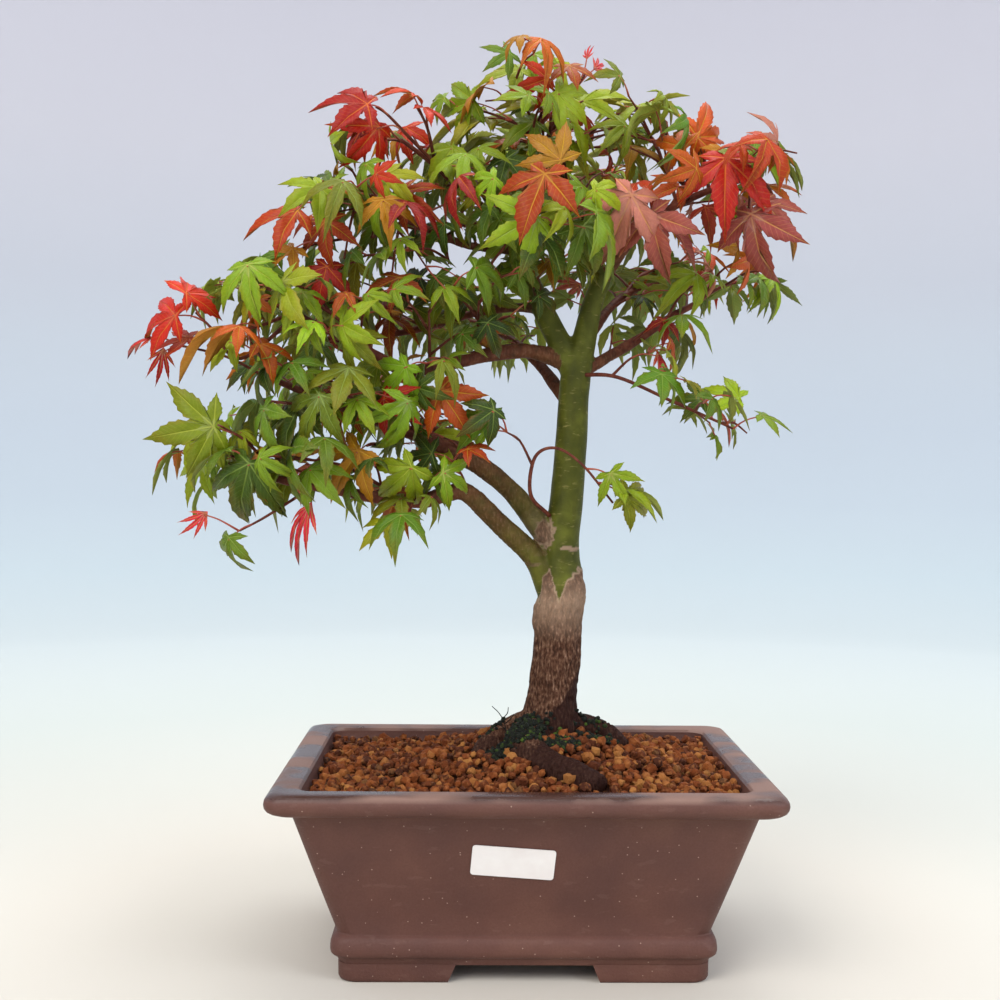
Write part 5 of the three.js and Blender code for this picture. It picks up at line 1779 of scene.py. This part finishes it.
    def side_twigs(self, rng: random.Random, carriers: Sequence[tuple[list[Vector], float]]) -> None:
        """Grows side twigs with opposite pairs of leaves where there is room for them.

        Args:
            rng: the source of their ways and sizes.
            carriers: lines that bear them, each with the share of its length that stays bare.
        """
        axis = Vector((-20, 0, 0))
        for line, begin in carriers:
            travelled, side = 0.0, 1
            total = sum((b - a).length for a, b in zip(line, line[1:]))
            next_at = total * begin
            for a, b in zip(line, line[1:]):
                travelled += (b - a).length
                if travelled < next_at:
                    continue
                next_at = travelled + self.side_pitch * rng.uniform(0.8, 1.25)
                side = -side
                heading = (b - a).normalized()
                level = heading.cross(UP).normalized()
                way = heading * rng.uniform(0.3, 0.8)
                way = way + level * side * rng.uniform(0.5, 1.1)
                way = way + UP * rng.uniform(-0.25, 0.55)
                reach = rng.uniform(16, 36)
                way.normalize()
                end = b + way * reach
                middle = b + way * reach * 0.5 + UP * reach * rng.uniform(0.02, 0.16)
                twig = smooth_line((b, middle, end), 4)
                grown = []
                for share, count in ((1.0, 3), (0.5, 2)):
                    base = twig[round(share * (len(twig) - 1))]
                    for k in range(count):
                        turn = (0, 1, -1)[k] if count == 3 else (1, -1)[k]
                        out = way + way.cross(UP).normalized() * turn * rng.uniform(0.8, 1.5)
                        out = (out + UP * rng.uniform(-0.35, 0.35)).normalized()
                        junction = base + out * rng.uniform(8, 19)
                        away = junction - axis
                        away.z = 0
                        lean = math.radians(rng.uniform(25, 80))
                        face = away.normalized() * math.cos(lean) + Vector((0, -0.3, math.sin(lean)))
                        tip = out + UP * rng.uniform(-0.9, -0.1)
                        face.normalize()
                        tip = (tip - face * tip.dot(face)).normalized()
                        length = rng.uniform(15, 29)
                        leaf = Leaf(junction, tip, face, length, Hue.GREEN, base.copy())
                        if self.free(leaf):
                            leaf.hue = self.hue_at(rng, junction.x, junction.z)
                            self.leaves.append(leaf)
                            grown.append(leaf)
                if grown:
                    self.twigs.append((twig, spread((0.85, 0.45), len(twig))))

    def grow(self) -> None:
        """Gathers the twigs and leaves."""
        rng = random.Random(self.seed)
        by_slot = {hue.value[0]: hue for hue in Hue if hue is not Hue.HOT}
        slots = {row["node"]: row["material_slot"] for row in frame["record"]["subparts"]}
        carriers = []
        for twig in (*SHOOTS, *(spray_twig(k) for k in range(len(SPRAYS)))):
            hue = Hue.HOT if twig.node in self.young_shoots else by_slot[slots[twig.node]]
            line = smooth_line(twig.route, 8)
            self.twigs.append((line, spread(twig.radii, len(line))))
            self.recover(twig, hue)
            if twig.node == "shoot_low_hanging":
                # Its lowest leaf is full grown; the pink piece stands for the node.
                hanging = [leaf for leaf in self.leaves if leaf.node == twig.node]
                lowest = min(hanging, key=lambda leaf: leaf.junction.z)
                lowest.hue, lowest.node = Hue.GREEN, ""
            if twig.node.startswith("spray") or twig.node in ("shoot_right_long", "shoot_front_curl"):
                carriers.append((line, 0.2))
        log.info("%d leaves stand in the places of the CAD blades", len(self.leaves))
        for limb in LIMBS[6:]:
            carriers.append((limb.line(10), 0.36 if limb.radii[0] > 4 else 0.2))
        for place in self.thickets:
            goal = Vector(place)
            start = min((p for limb in LIMBS[6:] for p in limb.line(10)), key=lambda p: (p - goal).length)
            line = smooth_line((start, (start + goal) / 2 + UP * 5, goal), 6)
            self.twigs.append((line, spread((1.1, 0.5), len(line))))
            carriers.append((line, 0.2))
        self.side_twigs(rng, carriers)
        log.info("%d leaves in all", len(self.leaves))

    def blades(self) -> list[bpy.types.Object]:
        """Builds one piece of blades for each leaf slot.

        Returns:
            The pieces.
        """
        rng = random.Random(self.seed + 1)
        shapes = [
            Blade(waist=0.36), Blade(width=0.86, waist=0.28),
            Blade(lobes=((-112, 0.38), (-47, 0.82), (0, 1.0), (53, 0.92), (108, 0.52)), waist=0.4),
            Blade(
                lobes=((-116, 0.32), (-58, 0.72), (0, 1.0), (56, 0.8), (114, 0.36)), width=1.06, waist=0.28
            ),
        ]
        small = [replace(shape, edge=SMALL_EDGE) for shape in shapes]
        young = Blade(
            lobes=((-46, 0.5), (-22, 0.86), (0, 1.0), (21, 0.82), (44, 0.54)), width=0.4, waist=0.3,
            full=0.95
        )
        made = []
        for slot, (vein, aged, bloom, strength) in BLADE_TONES.items():
            bm = bmesh.new()
            for leaf in (leaf for leaf in self.leaves if leaf.hue.value[0] == slot):
                shape = young if leaf.hue is Hue.HOT else rng.choice(shapes if leaf.node else small)
                shape.stamp(bm, leaf, rng, rng.uniform(0.18, 0.92))
            kind = slot.removeprefix("leaf_")
            face = MapleLeafFace(f"maple_leaf_face_{kind}", vein=vein, aged=aged, vein_strength=strength)
            under = MapleLeafUnderside(f"maple_leaf_underside_{kind}", vein=vein, aged=aged, bloom=bloom)
            nodes = sorted({leaf.node for leaf in self.leaves if leaf.node and leaf.hue.value[0] == slot})
            made.append(make_piece(bm, f"leaves_{kind}", [face.material(), under.material()], nodes))
        return made

    def stalks(self) -> bpy.types.Object:
        """Builds the leaf stalks, each a thin curved tube from its twig into its blade.

        Returns:
            The piece.
        """
        rng = random.Random(self.seed + 2)
        bm = bmesh.new()
        for leaf in self.leaves:
            span = leaf.junction - leaf.root
            if span.length < 2:
                continue
            bow = Vector((rng.uniform(-1, 1), rng.uniform(-1, 1), rng.uniform(0.2, 1.4))) * span.length * 0.09
            line = smooth_line((leaf.root, leaf.root + span * 0.5 + bow, leaf.junction + leaf.tip * 1.5), 3)
            grow_tube(bm, line, spread((0.62, 0.42, 0.36), len(line)), 6)
        return make_piece(bm, "leaf_stalks", [YoungStalk().material()])

    def wood(self, finish: bpy.types.Material) -> bpy.types.Object:
        """Builds the twigs.

        Args:
            finish: the bark's material.

        Returns:
            The piece.
        """
        bm = bmesh.new()
        for line, radii in self.twigs:
            grow_tube(bm, line, radii, 8)
        mesh = bpy.data.meshes.new("twigs")
        bm.to_mesh(mesh)
        bm.free()
        count = len(mesh.vertices)
        for name, value in (("green", 0.0), ("red", 1.0)):
            mesh.attributes.new(name, "FLOAT", "POINT").data.foreach_set("value", [value] * count)
        return dress(mesh, "twigs", [finish])


# ---------------------------------------------------------------- the label, the screens and the staples
@dataclass(frozen=True)
class CoatedPaper(Finish):
    """Coated label paper, printed by heat: bright, smooth and satin, with faint fibre."""

    name: str = "coated_label_paper"
    roughness: float = 0.34

    def material(self) -> bpy.types.Material:
        """Builds the material.

        Returns:
            The material, ready for a piece's slots.
        """
        material, node, shader = self.start()
        point = self.object_point(node)
        fibre = node("TexNoise", self.object_point(node, (3, 1, 1)), Scale=1 / 0.9, Detail=3)
        cloud = node("TexNoise", point, Scale=1 / 9, Detail=2)
        colour = node("ValToRGB", cloud, stops=((0.3, "#ece5e2"), (0.7, "#f2edea")))
        colour = node("Mix.MIX", node("Math.MULTIPLY", fibre, 0.2), colour, "#e2dcd8")
        feed(shader.inputs["Base Color"], colour)
        feed(shader.inputs["Normal"], node("Bump", Height=fibre, Distance=0.04 * MM))
        return material


@dataclass(frozen=True)
class MouldedMesh(Finish):
    """Black polyethylene mesh, injection moulded: satin, with soil dust in its grain."""

    name: str = "moulded_polyethylene_mesh"
    roughness: float = 0.5

    def material(self) -> bpy.types.Material:
        """Builds the material.

        Returns:
            The material, ready for a piece's slots.
        """
        material, node, shader = self.start()
        point = self.object_point(node)
        dust = node("TexNoise", point, Scale=1 / 3, Detail=4)
        dust = node("Math.MULTIPLY", node("Math.SUBTRACT", dust, 0.45), 2.5, use_clamp=True)
        colour = node("Mix.MIX", node("Math.MULTIPLY", dust, 0.6), "#1d1f1d", "#6b4a30")
        feed(shader.inputs["Base Color"], colour)
        fine = node("TexNoise", point, Scale=1 / 0.8, Detail=2)
        feed(shader.inputs["Normal"], node("Bump", Height=fine, Distance=0.08 * MM))
        return material


@dataclass(frozen=True)
class DrawnWire(Finish):
    """Drawn aluminium wire: bright metal under a patchy grey oxide film."""

    name: str = "drawn_aluminium_wire"
    roughness: float = 0.38

    def material(self) -> bpy.types.Material:
        """Builds the material.

        Returns:
            The material, ready for a piece's slots.
        """
        material, node, shader = self.start()
        shader.inputs["Metallic"].default_value = 1.0
        film = node("TexNoise", self.object_point(node), Scale=1 / 2.5, Detail=3)
        feed(shader.inputs["Base Color"], node("ValToRGB", film, stops=((0.3, "#8d8780"), (0.7, "#c6c0b8"))))
        feed(shader.inputs["Normal"], node("Bump", Height=film, Distance=0.05 * MM))
        return material


class Fittings:
    """The small CAD pieces that keep their own shapes: the label, the drainage screens and their staples."""

    finishes = {
        "blank_label": CoatedPaper(),
        "drain_screen": MouldedMesh(),
        "screen_wire": DrawnWire(),
    }

    def dress(self) -> None:
        """Gives each its finish through its material slots."""
        for stem, finish in self.finishes.items():
            material = finish.material()
            for name, node in frame["nodes"].items():
                if name.startswith(stem):
                    for place in node.material_slots:
                        place.material = material
                    log.info("%s: dressed in %s", name, finish.name)


# ---------------------------------------------------------------- camera, light and stage
@dataclass(frozen=True)
class PaintedCove(Finish):
    """Matt studio paint on a seamless cove: warm cream on the floor, pale blue and grey up the wall."""

    name: str = "matt_cove_paint"
    roughness: float = 1.0

    def material(self) -> bpy.types.Material:
        """Builds the material.

        Returns:
            The material, ready for a piece's slots.
        """
        material, node, shader = self.start()
        point = self.object_point(node)
        x, y, z = (node("SeparateXYZ", point, output=axis) for axis in "XYZ")
        squares = [node("Math.MULTIPLY", side, side) for side in (x, y)]
        away = node("Math.SUBTRACT", node("Math.SQRT", node("Math.ADD", *squares)), 250.0)
        away = node("Math.MAXIMUM", away, 0.0)
        height = node("Math.MULTIPLY", z, 2.4)
        stops = (
            (0.0, "#d0cbc0"), (0.03, "#ccccc3"), (0.093, "#cad0ca"), (0.21, "#d1dad9"), (0.334, "#c6d3d7"),
            (0.43, "#c1ccd3"), (0.53, "#c0c9d1"), (0.62, "#c2c9d0"), (0.71, "#c4c7ce"), (0.865, "#cfcdd3"),
            (1.0, "#d1ced5"),
        )
        colour = node("ValToRGB", node("Math.DIVIDE", node("Math.ADD", away, height), 5400.0), stops=stops)
        cloud = node("TexNoise", point, Scale=1 / 400, Detail=2)
        colour = node("Mix.MIX", node("Math.MULTIPLY", cloud, 0.04), colour, "#ffffff")
        feed(shader.inputs["Base Color"], colour)
        shader.inputs["Specular IOR Level"].default_value = 0.0
        return material


@dataclass
class Studio:
    """A round pale cove, soft lights and the camera."""

    camera_at: tuple[float, float, float] = (-25.6, -778.6, 262.9)
    yaw: float = 0.0158
    pitch: float = 0.0213
    roll: float = 0.0083
    lens: float = 50.4
    floor_radius: float = 1.5
    wall_radius: float = 2.5
    wall_height: float = 3.0
    steps: int = 72

    def camera(self) -> None:
        """Stands the camera at the pot's front."""
        made = bpy.data.objects.new("camera", bpy.data.cameras.new("camera"))
        bpy.context.scene.collection.objects.link(made)
        made.data.lens, made.data.sensor_width = self.lens, 36.0
        made.data.clip_start, made.data.clip_end = 0.02, 50.0
        turn = Matrix.Rotation(-self.yaw, 4, "Z") @ Matrix.Rotation(math.pi / 2 - self.pitch, 4, "X")
        turn = turn @ Matrix.Rotation(self.roll, 4, "Z")
        made.matrix_world = Matrix.Translation(Place.row(self.camera_at)) @ turn
        bpy.context.scene.camera = made

    def light(self, name: str, place: Sequence[float], size: float, power: float, tone: str) -> None:
        """Hangs one softbox that looks at the middle of the tree.

        Args:
            name: its name.
            place: where it hangs, in metres.
            size: its width in metres.
            power: its power in watts.
            tone: its sRGB hex colour.
        """
        lamp = bpy.data.lights.new(name, "AREA")
        lamp.shape, lamp.size, lamp.energy, lamp.color = "DISK", size, power, linear(tone)[:3]
        made = bpy.data.objects.new(name, lamp)
        bpy.context.scene.collection.objects.link(made)
        made.location = place
        made.visible_camera = False
        aim = Vector((0.0, 0.0, 0.25)) - Vector(place)
        made.rotation_euler = aim.to_track_quat("-Z", "Y").to_euler()

    def cove(self) -> None:
        """Spins the floor and wall as one seamless surface."""
        bm = bmesh.new()
        bend = self.wall_radius - self.floor_radius
        profile = [bm.verts.new((0.0, 0.0, 0.0)), bm.verts.new((self.floor_radius, 0.0, 0.0))]
        for k in range(1, 13):
            angle = k / 12 * math.pi / 2
            x, z = self.floor_radius + bend * math.sin(angle), bend * (1 - math.cos(angle))
            profile.append(bm.verts.new((x, 0.0, z)))
        profile.append(bm.verts.new((self.wall_radius, 0.0, self.wall_height)))
        edges = [bm.edges.new(pair) for pair in zip(profile, profile[1:])]
        bmesh.ops.spin(
            bm, geom=[*profile, *edges], cent=(0, 0, 0), axis=(0, 0, 1), angle=2 * math.pi,
            steps=self.steps, use_merge=True,
        )
        bmesh.ops.remove_doubles(bm, verts=bm.verts, dist=1e-5)
        bmesh.ops.recalc_face_normals(bm, faces=bm.faces)
        if sum(f.normal.z * f.calc_area() for f in bm.faces) < 0:
            bmesh.ops.reverse_faces(bm, faces=bm.faces)
        mesh = bpy.data.meshes.new("cove")
        bm.to_mesh(mesh)
        bm.free()
        mesh.materials.append(PaintedCove().material())
        mesh.polygons.foreach_set("use_smooth", [True] * len(mesh.polygons))
        cove = bpy.data.objects.new("cove", mesh)
        bpy.context.scene.collection.objects.link(cove)

    def build(self) -> None:
        """Builds the studio."""
        self.camera()
        self.cove()
        self.light("key_softbox", (-1.0, -1.5, 1.7), 1.6, 36.0, "#fffaf4")
        self.light("fill_softbox", (1.35, -1.08, 1.15), 1.2, 16.0, "#f4f8ff")
        self.light("top_softbox", (0.1, 0.5, 2.1), 1.8, 25.0, "#ffffff")
        world = bpy.data.worlds.new("studio_air")
        world.use_nodes = True
        air = world.node_tree.nodes["Background"]
        air.inputs["Color"].default_value = linear("#eef3fa")
        air.inputs["Strength"].default_value = 0.91
        bpy.context.scene.world = world
        bpy.context.scene.view_settings.view_transform = "Standard"


def main() -> None:
    """Builds the studio and every piece in order."""
    Studio().build()
    Pot().build()
    wood = Wood()
    skin = wood.build()[0]
    near_roots = wood.tree()
    soil = Soil()
    soil.bed()
    soil.grains(near_roots)
    soil.moss(skin)
    canopy = Canopy()
    canopy.grow()
    canopy.blades()
    canopy.stalks()
    canopy.wood(skin.data.materials[0])
    Fittings().dress()


if __name__ == "__main__":
    main()
